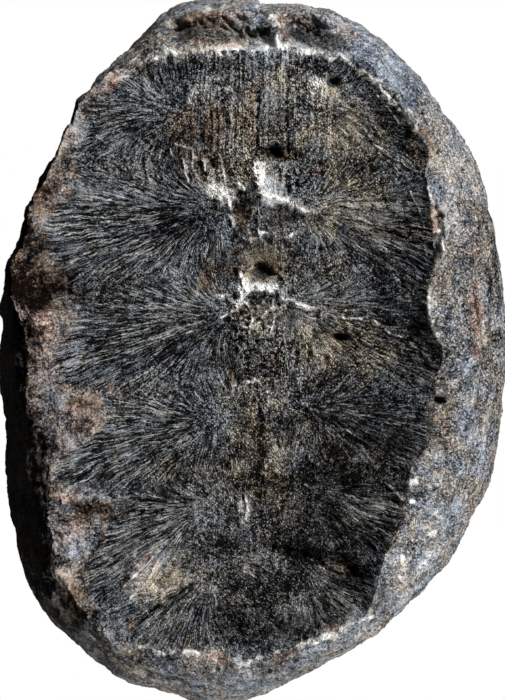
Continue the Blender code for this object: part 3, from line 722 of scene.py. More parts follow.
RUST = [
    (-18.0, 2.0, 1.1, 1.53, 0, 0.7),
    (-16.2, -0.8, 1.87, 1.7, 0, 0.4),
    (-14.9, -14.9, 1.5, 1.0, 25, 0.9),
    (-15.0, -12.5, 1.87, 0.51, 5, 0.6),
    (-11.7, 22.7, 1.53, 0.59, 35, 0.7),
    (-3.3, 26.0, 2.37, 0.42, -5, 0.7),
    (-2.1, 28.4, 2.04, 0.85, 0, 0.5),
    (-17.0, 12.9, 1.7, 1.87, 0, 0.5),
    (-12.3, -3.1, 0.85, 0.76, 0, 0.5),
    (-15.1, -5.3, 2.2, 1.02, 0, 0.4),
    (-3.3, -26.1, 1.53, 0.59, -20, 0.7),
    (-12.9, -24.6, 1.02, 0.85, 0, 0.3),
    (2.7, -25.9, 1.53, 0.59, 15, 0.6),
    (18.9, 2.1, 0.76, 3.39, 0, 0.8),
    (15.4, 10.6, 0.59, 1.02, 0, 0.6),
    (12.2, -15.8, 0.25, 0.76, 0, 0.9),
    (10.8, -15.7, 0.51, 0.34, 0, 0.8),
    (18.4, 8.9, 0.85, 1.87, 0, 0.4),
    (7.9, 27.1, 1.19, 0.76, -30, 0.45),
    (3.0, 28.0, 1.36, 0.59, 0, 0.5),
    (6.6, -23.5, 0.76, 0.51, 0, 0.5),
    (-9.3, -18.9, 2.6, 1.1, 55, 0.6),
    (16.2, -6.4, 0.68, 1.87, 0, 0.4),
    (18.4, -14.4, 0.76, 2.71, -30, 0.35),
    (5.6, 15.0, 0.34, 0.25, 0, 0.9),
]
BLUE_GREY = [
    (0.2, 27.9, 1.1, 0.51, 0, 0.7),
    (11.2, 24.8, 5.5, 2.6, -42, 1.0),
    (17.0, 17.0, 2.0, 4.5, -25, 0.35),
    (18.6, -4.5, 1.5, 4.5, 0, 0.45),
    (19.6, -9.8, 0.76, 1.36, 0, 0.9),
    (-13.9, -16.8, 1.3, 0.7, 15, 0.8),
    (-15.6, -13.6, 0.6, 0.4, 0, 0.6),
    (-10.2, -21.7, 0.68, 0.51, 0, 0.8),
    (5.7, -15.6, 1.36, 0.51, 0, 0.5),
    (-16.5, -4.6, 1.36, 1.02, 0, 0.4),
    (-16.5, -1.2, 0.9, 1.2, 0, 0.7),
    (-3.3, -6.3, 1.02, 0.51, 0, 0.6),
    (-16.7, -13.0, 0.68, 0.34, 0, 0.5),
    (-12.1, -24.6, 1.7, 0.85, -40, 0.4),
]
CHALK = [
    (1.0, 14.0, 1.6, 0.42, -68, 1.5),
    (2.4, 12.9, 1.2, 0.3, -10, 0.5),
    (-0.8, 5.1, 0.9, 0.36, 70, 1.4),
    (0.7, 5.35, 1.3, 0.25, 0, 0.5),
    (-4.4, 22.1, 1.0, 0.45, 35, 0.45),
    (-5.3, 21.4, 0.35, 0.6, 0, 0.35),
    (-2.6, 13.4, 1.6, 1.1, -20, 0.45),
    (-0.6, -13.6, 0.6, 1.6, 5, 0.4),
    (5.3, 22.7, 1.2, 0.5, -35, 0.4),
    (6.6, 21.5, 1.3, 0.45, -20, 0.4),
    (4.9, 21.4, 0.5, 0.9, 0, 0.25),
    (13.7, -11.1, 0.75, 0.4, 20, 0.6),
    (12.7, -17.6, 0.2, 0.55, 0, 0.9),
    (12.8, -15.7, 0.22, 0.28, 0, 0.9),
    (13.5, -12.8, 0.28, 0.22, 0, 0.8),
    (12.5, -19.2, 0.16, 0.45, 10, 0.8),
    (-1.7, 15.1, 0.85, 1.19, 0, 0.3),
    (-4.9, 15.3, 2.2, 1.7, 0, 0.25),
    (2.8, 13.0, 2.2, 0.7, -20, 0.15),
    (4.0, 3.9, 1.87, 0.42, -10, 0.4),
    (-8.9, -18.4, 2.6, 1.0, 55, 0.3),
    (-10.4, -19.4, 1.2, 0.8, 20, 0.12),
    (-7.5, -20.3, 2.0, 0.5, 27, 0.3),
    (-14.5, -15.3, 1.0, 0.4, 20, 0.2),
    (-2.9, 22.6, 1.7, 1.19, 0, 0.2),
]
# Partly manganese and partly painted shade: black in the pits and the trench, and dark patches where the dish lies in
# shade, along the right inner wall, below the head-end crest and at the tail end.
MANGANESE_AND_PAINTED_SHADE = [
    (12.3, 7.0, 2.88, 3.73, 0, 0.5),
    (6.8, 22.7, 0.6, 0.45, 0, 1.1),
    (5.7, 8.5, 0.3, 0.26, 0, 1.1),
    (15.2, 9.0, 0.35, 1.7, -3, 0.8),
    (14.3, 17.0, 0.6, 1.1, 0, 0.9),
    (12.7, 2.1, 2.04, 1.7, 0, 0.6),
    (11.2, -7.6, 3.05, 2.37, -15, 0.5),
    (-6.8, 10.5, 3.73, 1.53, 10, 0.5),
    (-3.2, -0.2, 3.56, 1.7, 0, 0.4),
    (11.8, 20.2, 1.7, 2.2, -40, 0.6),
    (-3.4, 23.7, 2.54, 0.85, 0, 0.4),
    (0.6, 23.7, 2.04, 1.19, 0, 0.3),
    (-1.1, -22.9, 3.39, 1.7, 0, 0.4),
    (3.2, -23.3, 3.39, 1.87, 0, 0.5),
    (7.8, -11.0, 3.39, 1.02, -25, 0.4),
    (8.5, -19.5, 3.8, 2.4, -25, 0.5),
    (-5.8, 27.0, 1.0, 0.75, 0, 1.4),
    (4.9, 26.8, 1.7, 0.85, -12, 1.6),
    (3.0, 27.8, 0.4, 0.3, 0, 1.2),
    (0.4, 27.2, 1.3, 0.3, -5, 0.9),
    (-1.3, 26.4, 0.25, 0.25, 0, 0.9),
    (1.9, 16.9, 1.0, 0.6, 0, 1.2),
    (0.8, 6.65, 0.8, 0.5, 0, 1.2),
    (7.5, 1.1, 0.6, 0.34, -5, 0.8),
    (15.9, -4.3, 0.45, 0.3, 0, 1.3),
    (-3.4, 11.9, 0.9, 0.6, 0, 0.7),
]


# Painted light and shade, and tone: places painted darker or lighter than elsewhere. Dark rows paint shadow
# below the ledge, in the scoop of the left margin, in cracks and pits, along the right inner wall and over the
# dish's lower right; light rows paint highlights on the head-end crest and on flanks that face the lamps; the
# rest is the surface's own tone. The last number is added to the lightness.
PAINTED_LIGHT_SHADE_AND_TONE = [
    (8.3, -6.4, 6.0, 3.5, -15, -0.13),
    (7.8, -13.1, 6.0, 3.0, -25, -0.25),
    (7.4, -19.5, 5.0, 3.0, -20, -0.05),
    (0.6, -21.6, 6.0, 4.0, 0, -0.05),
    (7.8, 11.7, 6.0, 2.5, 0, 0.16),
    (-10.0, 0.5, 7.0, 4.5, 0, -0.1),
    (-9.0, 10.5, 6.0, 2.5, 0, -0.06),
    (-5.5, -21.5, 4.0, 2.5, 20, 0.07),
    (-8.0, -20.5, 4.0, 2.5, 45, 0.08),
    (-10.0, -8.0, 7.0, 3.5, 0, -0.05),
    (-4.0, 18.2, 3.0, 3.0, 0, -0.07),
    (-6.6, 15.2, 3.4, 1.3, 0, -0.12),
    (9.0, -18.5, 3.5, 3.5, 0, 0.06),
    (-9.5, -20.0, 4.5, 3.0, 45, 0.08),
    (7.0, 18.0, 4.0, 3.0, 0, 0.13),
    (7.8, 0.9, 6.0, 2.5, 0, 0.05),
    (6.0, 22.2, 1.8, 1.2, -20, 0.12),
    (0.8, 8.3, 2.5, 1.2, 0, -0.06),
    (-4.0, 18.0, 3.0, 3.0, 0, -0.05),
    (2.4, 13.6, 2.5, 1.4, -30, 0.17),
    (8.0, 11.7, 4.0, 1.2, 0, 0.05),
    (0.0, 21.8, 6.5, 3.2, 0, 0.2),
    (15.8, 12.0, 2.0, 6.5, -15, 0.11),
    (-14.6, -11.9, 2.2, 0.7, 4, 0.12),
    (0.2, 2.8, 2.2, 1.4, 0, 0.08),
    (1.2, 14.4, 1.6, 0.5, -60, 0.25),
    (3.0, 12.6, 1.8, 0.4, -25, 0.25),
    (0.3, 5.6, 1.8, 0.35, 0, 0.3),
    (2.2, 11.2, 1.6, 1.3, 0, -0.14),
    (-0.9, 11.6, 0.9, 1.7, 0, -0.1),
    (-17.4, 5.1, 2.6, 2.0, -15, -0.38),
    (-19.3, 4.0, 1.2, 3.0, 0, -0.25),
    (-19.4, 9.0, 0.9, 3.6, -12, -0.2),
    (-17.4, 13.0, 0.8, 2.4, -25, -0.1),
    (-17.2, 1.7, 2.0, 1.4, 0, -0.24),
    (-13.3, -13.5, 1.9, 0.9, -5, -0.24),
    (-15.2, -12.2, 1.6, 0.7, 5, 0.12),
    (-14.6, -15.0, 1.7, 1.0, 0, -0.08),
    (-12.5, -23.8, 2.4, 1.6, -40, 0.09),
    (-12.6, -16.0, 1.2, 2.0, 20, -0.1),
    (18.5, 4.0, 2.5, 9.0, 0, -0.1),
    (14.3, -17.5, 3.0, 3.5, -30, 0.05),
    (9.5, -24.0, 5.0, 2.5, 35, 0.13),
    (-1.0, -27.5, 6.5, 2.0, 0, 0.12),
    (-4.0, 27.0, 2.6, 1.1, 0, -0.12),
    (-4.5, 25.2, 4.5, 0.6, 2, 0.36),
    (3.6, 25.3, 4.0, 0.6, -6, 0.24),
    (3.6, 25.9, 1.4, 0.4, 0, 0.2),
    (5.0, 26.8, 1.6, 0.8, -10, -0.25),
    (9.6, 24.5, 4.0, 2.4, -40, 0.08),
    (2.2, 16.8, 1.6, 0.8, 0, -0.3),
    (-3.4, -16.9, 2.6, 0.75, 10, -0.4),
    (4.4, -17.1, 3.4, 0.7, -8, -0.35),
    (0.7, -9.0, 0.35, 5.0, 0, -0.3),
    (1.6, -8.5, 0.6, 4.0, 0, 0.12),
    (8.6, -18.9, 2.4, 1.2, -30, -0.1),
    (-5.0, 23.6, 4.5, 1.0, 0, -0.10),
    (2.0, 20.0, 1.1, 3.2, 0, -0.10),
    (12.2, 18.8, 4.0, 1.3, -49, -0.15),
    (12.0, 10.0, 1.8, 0.22, -8, -0.5),
    (5.7, 15.0, 0.4, 0.3, 0, -0.4),
    (1.0, -1.5, 1.6, 0.8, 0, -0.12),
    (-6.0, -2.0, 4.0, 0.9, 0, 0.05),
    (20.8, 4.0, 1.0, 8.0, 0, -0.12),
    (1.0, 14.0, 1.6, 0.5, -68, 0.75),
    (2.4, 12.9, 1.2, 0.35, -10, 0.15),
    (-0.8, 5.1, 1.0, 0.45, 70, 0.75),
    (0.7, 5.3, 1.4, 0.3, 0, 0.12),
    (-9.0, -18.5, 2.4, 1.1, 55, 0.17),
    (-7.6, -20.2, 2.2, 0.8, 27, 0.2),
    (-6.4, -21.0, 3.2, 0.35, 33, -0.35),
    (-6.3, -18.2, 1.6, 0.6, 20, -0.12),
]


def stain(x, y, table, seed, extra=0.0):
    """A table's patches, with lumps of noise that break up their edges and their middles."""
    place = np.stack([x, y], axis=1)
    raggedness = 0.6 * rough_noise(place / 1.1, seed, 4)
    plain = np.clip(spots(x, y, table) + extra, 0, 1)
    return np.clip(plain * (1 + raggedness) + 0.25 * raggedness * np.sqrt(plain), 0, 1)


def stains_and_shade(points):
    """Stain strengths on the upper side by name; shade holds painted shade and light, and tone."""
    x, y = points[:, 0], points[:, 1]
    upper = eased(points[:, 2], WIDEST_HEIGHT + 1, WIDEST_HEIGHT + 5)
    white = lines(x, y, BONE_RIDGES + BONE_NETWORK + FIBRE_EDGES + PALE_AND_HIGHLIGHTED_CRESTS + HEAD_TRENCH, column=2)
    found = {
        "film": stain(x, y, TAN_FILM, 351),
        "brown": stain(x, y, BROWN, 361),
        "rust": stain(x, y, RUST, 371),
        "blue": stain(x, y, BLUE_GREY, 381),
        "chalk": stain(x, y, CHALK, 391, extra=white),
        "black": stain(x, y, MANGANESE_AND_PAINTED_SHADE, 401),
    }
    marks = {name: strength * upper for name, strength in found.items()}
    uneven = 1 + 0.5 * rough_noise(np.stack([x, y], axis=1) / 1.3, 405, 3)
    # Painted shade and light, with tone, from the table of lighter and darker places.
    marks["shade"] = spots(*ragged(x, y), PAINTED_LIGHT_SHADE_AND_TONE) * uneven * upper
    angle = np.arctan2(y, x)
    from_crest = (np.hypot(x, y) / reach(RIM_OUTLINE, angle) - 0.99) / 0.04
    # Painted shade: along the left crest the rock is darkened in patches, where the steep flank turns from the lamps.
    left_crest_shade = np.exp(-(from_crest**2)) * (0.5 - 0.5 * np.cos(angle)) ** 3 * eased(points[:, 2], 16.0, 18.5)
    marks["shade"] -= left_crest_shade * (0.12 + 0.3 * rough_noise(np.stack([x, y], axis=1) / 0.9, 407, 3))
    return marks


# The dish's surface
# All of the above on one skin. Bare rock is pushed out along the line from the stone's middle, so that
# the dish and the flank agree along the crest; bone is raised straight up.


def pushed_out(points, height):
    """Points moved away from the middle of the stone's widest level, by a height each."""
    outward = points - np.array([0.0, 0.0, WIDEST_HEIGHT])
    return points + outward / np.linalg.norm(outward, axis=1)[:, None] * height[:, None]


def rim_features(x, y):
    """Lumps, hollows and edges that lie on the crest or on both sides of it."""
    wx, wy = ragged(x, y)
    rounded = spots(wx, wy, MARGIN_LUMPS + MARGIN_HOLLOWS) + spots(x, y, PINHOLES)
    return rounded + lines(x, y, PALE_AND_HIGHLIGHTED_CRESTS + HEAD_TRENCH)


def dish_skin(x, y):
    """The dish's points and, for the finish, how light each one's strand is and how much bone covers it."""
    bone = bone_cover(x, y)
    (fine, bundle, broad), rib, column, marks = fibres(x, y)
    film = np.clip(spots(x, y, TAN_FILM), 0, 1)
    place = np.stack([x, y], axis=1)
    wx, wy = ragged(x, y)
    smooth = np.clip(spots(wx, wy, SMOOTH_PLACES), 0, 1)
    crumbs = rough_noise(place / 0.45, 411, 4) * (1 - 0.75 * smooth)
    patches = rough_noise(place / 2.2, 415, 3)
    plainness = (1 - 0.8 * smooth) * (0.85 + 0.25 * patches) * (0.35 + 0.65 * np.maximum(marks["clear"], column)) * (1 - 0.35 * film)
    fine, bundle, broad = fine * plainness, bundle * plainness, broad * plainness
    headward = eased(y, 13.5, 16.5)
    broken = (1 - 0.75 * headward) * (1 - 0.8 * eased(-y, -1.0, 3.0))
    network = (1 - 2.6 * np.abs(rough_noise(place / 0.75, 418, 4))) * (1 - smooth)
    shell = 0.08 * fine + 0.11 * bundle + 0.12 * broad + (0.07 + 0.03 * column) * crumbs
    wisps = (1 - marks["clear"]) * (1 - column) * eased(-y, 1.0, 10.0)
    shell = shell + (0.16 * broken * column + 0.09 * wisps) * network
    edges = BONE_RIDGES + BONE_NETWORK + BONE_CRACKS + FIBRE_EDGES + FIBRE_CRACKS
    named = spots(wx, wy, BONE_HOLLOWS) + lines(x, y, edges)
    swell = BACKBONE_HEIGHT * np.exp(-(((x - BACKBONE_X) / BACKBONE_HALF_WIDTH) ** 2))
    swell = swell * np.clip((y + 17.0) / 3.0, 0, 1)
    height = bowl(x, y) + bone * (shell + rib + swell) + ledge(x, y) + named + rim_features(x, y)
    points = np.stack([x, y, height], axis=1)
    plain = np.stack([x, y, bowl(x, y)], axis=1)
    points = pushed_out(points, (1 - bone) * rock_height(plain))
    # The lightness follows the same strands, lumps and network as the height: raised places are painted lighter and
    # hollows darker, a painted shade in the hollows over the strands' own random tone.
    light = (0.18 + 0.16 * column * headward) * fine + (0.15 + 0.27 * column * headward) * bundle
    light = light + (0.24 + (0.2 * broken - 0.08 * headward) * column) * crumbs + 0.1 * broad + 0.42 * patches
    light = light + (0.3 * broken * column + 0.2 * wisps) * network
    light = light + 0.12 * column * (1 - 0.5 * eased(-y, -1.0, 3.0))
    return points, {"light": 0.5 + 0.5 * light, "bone": bone, "rough": 1 - 0.7 * smooth - 0.16 * (1 - smooth) * eased(-y, 2.0, 12.0), **marks}


# The nodule
# The stone round the shell: a lump of grained rock. Its flank is broad and rounded on the right and falls
# steeply from a sharp crest on the left; the underside tucks in to the flat foot that it lies on.
STONE_OUTLINE = [
    (21.6, -1.3), (21.5, 3.0), (21.2, 6.9), (20.5, 10.0), (19.4, 14.5), (17.9, 17.8), (17.2, 19.1),
    (15.6, 21.2), (14.1, 23.4), (11.5, 26.0), (9.7, 27.3), (7.8, 28.5), (5.9, 29.1), (3.5, 29.5),
    (1.0, 29.4), (0.0, 29.9), (-4.0, 29.9), (-6.3, 29.5), (-8.0, 28.3), (-9.0, 27.0), (-10.8, 25.2),
    (-13.3, 22.4), (-14.7, 21.3), (-15.1, 20.1), (-16.8, 15.5), (-19.0, 12.3), (-20.0, 9.1),
    (-21.0, 7.5), (-20.8, 6.4), (-21.4, 3.5), (-21.1, 2.4), (-21.6, 0.3), (-21.6, -2.7),
    (-21.1, -5.1), (-21.0, -10.0), (-21.0, -12.3), (-20.4, -15.2), (-19.8, -17.9), (-18.0, -21.8),
    (-16.0, -24.2), (-13.3, -26.3), (-10.3, -28.3), (-7.9, -29.0), (-3.6, -29.9), (-0.6, -29.8),
    (3.2, -28.2), (7.8, -26.0), (11.4, -23.5), (16.2, -18.6), (19.3, -13.2), (20.7, -9.3),
]
FOOT_HALF_WIDTH = 11.0
FOOT_HALF_LENGTH = 16.5
BED_THICKNESS = 2.1
BED_RELIEF = 0.3


def smooth_reach(outline, angle):
    """The same distance with the outline's small bumps averaged away, over about a sixth of a turn."""
    turns = np.linspace(-0.5, 0.5, 21)
    weights = np.cos(turns * math.pi) ** 2
    total = sum(weight * reach(outline, angle + turn) for weight, turn in zip(weights, turns))
    return total / weights.sum()


def faded(outline, angle, sharpness):
    """Distance to an outline whose small bumps count in full at sharpness 1 and not at all at 0."""
    smooth = smooth_reach(outline, angle)
    return smooth + (reach(outline, angle) - smooth) * sharpness


def flank_ring(angle, share):
    """A ring between the crest (share 0) and the widest line (share 1).

    On the right the flank rounds over like a quarter ellipse. On the left it falls steeply from a sharp
    crest, and at both ends it stays high and then falls.
    """
    quarter = share * math.pi / 2
    steep = 0.5 - 0.5 * np.cos(angle)
    square = np.abs(np.sin(angle)) ** 4
    crest = faded(RIM_OUTLINE, angle, math.exp(-((1.5 * share) ** 2)))
    widest = faded(STONE_OUTLINE, angle, math.exp(-((2 - 2 * share) ** 2)))
    distance = crest + (widest - crest) * math.sin(quarter) ** (1 + 0.5 * steep)
    height = WIDEST_HEIGHT + (rim_height(angle) - WIDEST_HEIGHT) * math.cos(quarter) ** (1 + 0.3 * steep - 0.6 * square)
    beds = np.sin(2 * math.pi * height / BED_THICKNESS) * math.sin(2 * quarter) * (1 - steep)
    distance = distance + BED_RELIEF * beds
    return np.stack([distance * np.cos(angle), distance * np.sin(angle), height], axis=1)


def underside_ring(angle, share):
    """A ring between the widest line (share 0) and the edge of the flat foot (share 1)."""
    quarter = share * math.pi / 2
    widest = faded(STONE_OUTLINE, angle, math.exp(-((4 * share) ** 2)))
    foot = 1 / np.hypot(np.cos(angle) / FOOT_HALF_WIDTH, np.sin(angle) / FOOT_HALF_LENGTH)
    distance = foot + (widest - foot) * math.cos(quarter)
    height = np.full_like(angle, WIDEST_HEIGHT * (1 - math.sin(quarter)))
    return np.stack([distance * np.cos(angle), distance * np.sin(angle), height], axis=1)


def nodule_skin(points):
    """The flanks' and the underside's points with their relief: full rock lumps, none on the flat foot."""
    x, y = points[:, 0], points[:, 1]
    upper = eased(points[:, 2], WIDEST_HEIGHT + 3, WIDEST_HEIGHT + 7)
    off_foot = eased(points[:, 2], 0.0, 2.5)
    raised = points + np.array([0.0, 0.0, 1.0]) * (rim_features(x, y) * upper)[:, None]
    bedding = lattice_noise(np.stack([points[:, 2] / 0.34, 4 * np.arctan2(y, x)], axis=1), 347) * (x > 0)
    return pushed_out(raised, off_foot * (rock_height(points) + 0.05 * bedding))


# The meshes
# The dish is a square grid drawn round into the crest's outline, in five strips that meet along straight
# columns: the ends and the roots of the left plates, the backbone, and the roots and the ends of the right
# plates. Each strip is the top of a block of bone, let into a pocket in the nodule. The nodule is rings from
# the crest down the flanks and under, with half as many points where the detail is coarser.
ROWS = 680
STRIPS = {
    "left_rib_ends": (-1.0, -0.5, 112),
    "left_rib_roots": (-0.5, -0.14, 86),
    "backbone": (-0.14, 0.22, 90),
    "right_rib_roots": (0.22, 0.58, 86),
    "right_rib_ends": (0.58, 1.0, 96),
}
POCKET_FLOOR = 14.5
FLANK_RINGS = 64
UNDERSIDE_RINGS = 30
FIRST_HALVING = 3
SECOND_HALVING = 4


def in_dish(a, b):
    """Draws the square round into a disc and stretches that to the crest's outline."""
    across, along = a * np.sqrt(1 - b * b / 2), b * np.sqrt(1 - a * a / 2)
    half_width, half_length = np.ptp(np.array(RIM_OUTLINE), axis=0) / 2
    angle = np.arctan2(along * half_length, across * half_width)
    distance = np.hypot(across, along) * reach(RIM_OUTLINE, angle)
    return distance * np.cos(angle), distance * np.sin(angle)


def border(index):
    """The outer cells of a grid of point numbers, anticlockwise."""
    return np.concatenate([index[0, :-1], index[:-1, -1], index[-1, :0:-1], index[:0:-1, 0]])


def ring_faces(upper, lower):
    """Faces between two rings: squares where they have as many points, else three triangles a pair."""
    if len(upper) == len(lower):
        return np.stack([upper, lower, np.roll(lower, -1), np.roll(upper, -1)], axis=1), np.zeros((0, 3), int)
    first, middle, last = upper[::2], upper[1::2], np.roll(upper[::2], -1)
    following = np.roll(lower, -1)
    triangles = [(first, lower, middle), (middle, lower, following), (middle, following, last)]
    return np.zeros((0, 4), int), np.concatenate([np.stack(corners, axis=1) for corners in triangles])


def stone_piece(name, points, smooth_faces, flat_faces, attributes, normals=None):
    """Makes a mesh object from faces that are shaded smooth and faces that are flat, with its attributes.

    Where two pieces meet in one surface, the normals that belong to the whole surface are given.
    """
    mesh = bpy.data.meshes.new(name)
    faces = [row for block in smooth_faces + flat_faces for row in block.tolist()]
    mesh.from_pydata((points * MM).tolist(), [], faces)
    smooth = np.zeros(len(faces), bool)
    smooth[: sum(len(block) for block in smooth_faces)] = True
    mesh.polygons.foreach_set("use_smooth", smooth)
    for key, values in attributes.items():
        mesh.attributes.new(key, "FLOAT", "POINT").data.foreach_set("value", values.astype(np.float32))
    if normals is not None:
        mesh.normals_split_custom_set_from_vertices(normals)
    piece = bpy.data.objects.new(name, mesh)
    bpy.context.scene.collection.objects.link(piece)
    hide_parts("turtle_fossil")
    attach(piece, "root")
    return piece


columns = np.concatenate([np.linspace(first, last, count, endpoint=False) for first, last, count in STRIPS.values()])
columns = np.append(columns, 1.0)
a, b = np.meshgrid(columns, np.linspace(-1, 1, ROWS + 1))
plan_x, plan_y = in_dish(a.ravel(), b.ravel())
dish_points, dish_marks = dish_skin(plan_x, plan_y)
dish_marks.update(stains_and_shade(dish_points))
dish_marks["left"] = 0.5 - 0.5 * np.cos(np.arctan2(plan_y, plan_x))
box_low, box_high = (np.array(corner) / MM for corner in cad_box)
dish_points = np.clip(dish_points, box_low, box_high)
dish_index = np.arange(a.size).reshape(a.shape)
dish_grid = dish_points.reshape(*a.shape, 3)
dish_normals = np.cross(np.gradient(dish_grid, axis=1), np.gradient(dish_grid, axis=0)).reshape(-1, 3)
dish_normals /= np.linalg.norm(dish_normals, axis=1)[:, None]

pieces = []
start = 0
for name, (_, _, count) in STRIPS.items():
    strip = dish_index[:, start : start + count + 1]
    start += count
    top = np.arange(strip.size).reshape(strip.shape)
    quads = np.stack([c.ravel() for c in (top[:-1, :-1], top[:-1, 1:], top[1:, 1:], top[1:, :-1])], axis=1)
    edge = border(top)
    below = strip.size + np.arange(len(edge))
    walls = np.stack([edge, below, np.roll(below, -1), np.roll(edge, -1)], axis=1)
    chosen = strip.ravel()
    edge_points = np.stack([plan_x[chosen][edge], plan_y[chosen][edge], np.full(len(edge), POCKET_FLOOR)], axis=1)
    points = np.concatenate([dish_points[chosen], edge_points])
    marks = {key: np.append(values[chosen], values[chosen][edge]) for key, values in dish_marks.items()}
    normals = np.concatenate([dish_normals[chosen], np.tile([0.0, 0.0, -1.0], (len(edge), 1))])
    pieces.append(stone_piece(name, points, [quads], [walls, below[None, ::-1]], marks, normals))

rim = border(dish_index)
ring_angle = np.arctan2(plan_y[rim], plan_x[rim])
pocket = np.stack([plan_x[rim], plan_y[rim], np.full(len(rim), POCKET_FLOOR)], axis=1)
rings, smooth_faces = [], []
ring = np.arange(len(rim))
count = 2 * len(rim)
levels = [(flank_ring, k / FLANK_RINGS, k == FIRST_HALVING) for k in range(1, FLANK_RINGS + 1)]
levels += [(underside_ring, k / UNDERSIDE_RINGS, k == SECOND_HALVING) for k in range(1, UNDERSIDE_RINGS + 1)]
for maker, share, halve in levels:
    if halve:
        ring_angle = ring_angle[::2]
    new = np.arange(count, count + len(ring_angle))
    count += len(new)
    rings.append(maker(ring_angle, share))
    smooth_faces += ring_faces(ring, new)
    ring = new
skin = nodule_skin(np.concatenate(rings))
points = np.concatenate([dish_points[rim], pocket, skin])
points = np.clip(points, box_low, box_high)
pocket_ring = len(rim) + np.arange(len(rim))
rim_ring = np.arange(len(rim))
pocket_walls = np.stack([rim_ring, np.roll(rim_ring, -1), np.roll(pocket_ring, -1), pocket_ring], axis=1)
marks = stains_and_shade(points)
# Painted light: the rock of the left flank below the crest is made lighter, as fill light where the lamps leave it in
# shade.
marks["light"] = 0.5 + 0.1 * (1 - np.cos(np.arctan2(points[:, 1], points[:, 0]))) * (points[:, 2] < 18.0)
marks["bone"] = np.zeros(len(points))
marks["bone"][: len(rim)] = dish_marks["bone"][rim]
for key, plain in (("fan", 0.0), ("run", 0.0), ("spread", 1.0), ("clear", 0.0), ("rough", 1.0)):
    marks[key] = np.full(len(points), plain)
    marks[key][: len(rim)] = dish_marks[key][rim]
marks["left"] = 0.5 - 0.5 * np.cos(np.arctan2(points[:, 1], points[:, 0]))
pieces.append(stone_piece("nodule", points, smooth_faces, [pocket_walls, pocket_ring[None, :], ring[None, ::-1]], marks))

# The finish
# Dull rock with fine grains and pores outside; inside, dark bone whose strands catch the light, under the
# mineral patches, the painted shade and the painted highlights. Every piece has the same material, because it is one
# stone.
material = bpy.data.materials.new("fossil_stone")
material.use_nodes = True
nodes, links = material.node_tree.nodes, material.node_tree.links
shader = nodes["Principled BSDF"]


def add(kind, inputs=(), **settings):
    """A node with its settings, and its inputs linked from sockets or set to values."""
    node = nodes.new("ShaderNode" + kind)
    for key, value in settings.items():
        setattr(node, key, value)
    for key, value in dict(inputs).items():
        if isinstance(value, bpy.types.NodeSocket):
            links.new(value, node.inputs[key])
        else:
            node.inputs[key].default_value = value
    return node


def calculate(operation, first, second=0.0, third=0.0):
    return add("Math", {0: first, 1: second, 2: third}, operation=operation).outputs[0]


def rise(value, low, high):
    return add("MapRange", {0: value, 1: low, 2: high}, interpolation_type="SMOOTHSTEP").outputs[0]


def mix(factor, first, second, blend="MIX"):
    return add("Mix", {0: factor, 6: first, 7: second}, data_type="RGBA", blend_type=blend).outputs[2]


def mark(name):
    return add("Attribute", attribute_name=name).outputs["Fac"]


def grains(scale, detail=2.0, roughness=0.6):
    """Random grain, turned askew so that its lattice lies along no face of the stone."""
    return add("TexNoise", {"Vector": askew, "Scale": scale, "Detail": detail, "Roughness": roughness}).outputs[0]


def splinters(width, length):
    """Narrow cells drawn out along the fibres, each as light as chance has it, with dark gaps between.

    A cell's place is the fibre's angle times a count, and the run over a length. The count is a power of
    two, larger where a radian of fibres spans more millimetres, so the cells are about as wide everywhere.
    """
    level = calculate("ROUND", calculate("LOGARITHM", calculate("DIVIDE", mark("spread"), width), 2.0))
    unsteady = calculate("MULTIPLY_ADD", mottle, 2.0, calculate("MULTIPLY", grain, 1.2))
    across = calculate("MULTIPLY_ADD", mark("fan"), calculate("POWER", 2.0, level), unsteady)
    along = calculate("MULTIPLY_ADD", level, 11.0, calculate("DIVIDE", mark("run"), length))
    spot = add("CombineXYZ", {0: across, 1: along}).outputs[0]
    return add("TexVoronoi", {"Vector": spot, "Scale": 1.0}, voronoi_dimensions="2D")


# The darker edge is painted shade: for the crystals and the narrow splinters it lies in the groove that the bump cuts
# between raised cells; each cell's own lightness is random tone.
def lit_cells(cells):
    """Each cell as light as chance has it, and half as light at its edge; about a half on the whole."""
    chance = add("SeparateColor", {0: cells.outputs["Color"]}).outputs[0]
    fading = calculate("MULTIPLY_ADD", rise(cells.outputs["Distance"], 0.8, 0.3), 0.7, 0.55)
    return calculate("MULTIPLY", chance, fading)


def blend(factor, first, second):
    return add("Mix", {0: factor, 2: first, 3: second}).outputs[0]


place = add("TexCoord").outputs["Object"]
askew = add("VectorRotate", {"Vector": place, "Rotation": (0.5, 0.7, 0.4)}, rotation_type="EULER_XYZ").outputs[0]
fine_grain = grains(7000.0, 2.0, 0.7)
grain = grains(4000.0, 3.0, 0.7)
mottle = grains(1400.0, 3.0)
tint = grains(260.0, 3.0)
pore = add("TexVoronoi", {"Vector": place, "Scale": 1900.0}).outputs["Distance"]


def varied(middle, *parts):
    """A value about a middle one, moved by each noise times its weight."""
    value = middle
    for noise, weight in parts:
        value = calculate("MULTIPLY_ADD", calculate("SUBTRACT", noise, 0.5), weight, value)
    return value


def hairs(cells):
    """A thin bright line down the middle of some of the cells."""
    middle = add("SeparateXYZ", {0: cells.outputs["Position"]}).outputs[0]
    here = add("SeparateXYZ", {0: cells.inputs["Vector"].links[0].from_socket}).outputs[0]
    aside = calculate("ABSOLUTE", calculate("SUBTRACT", middle, here))
    chance = add("SeparateColor", {0: cells.outputs["Color"]}).outputs[0]
    return calculate("MULTIPLY", rise(chance, 0.45, 0.95), rise(aside, 0.26, 0.08))


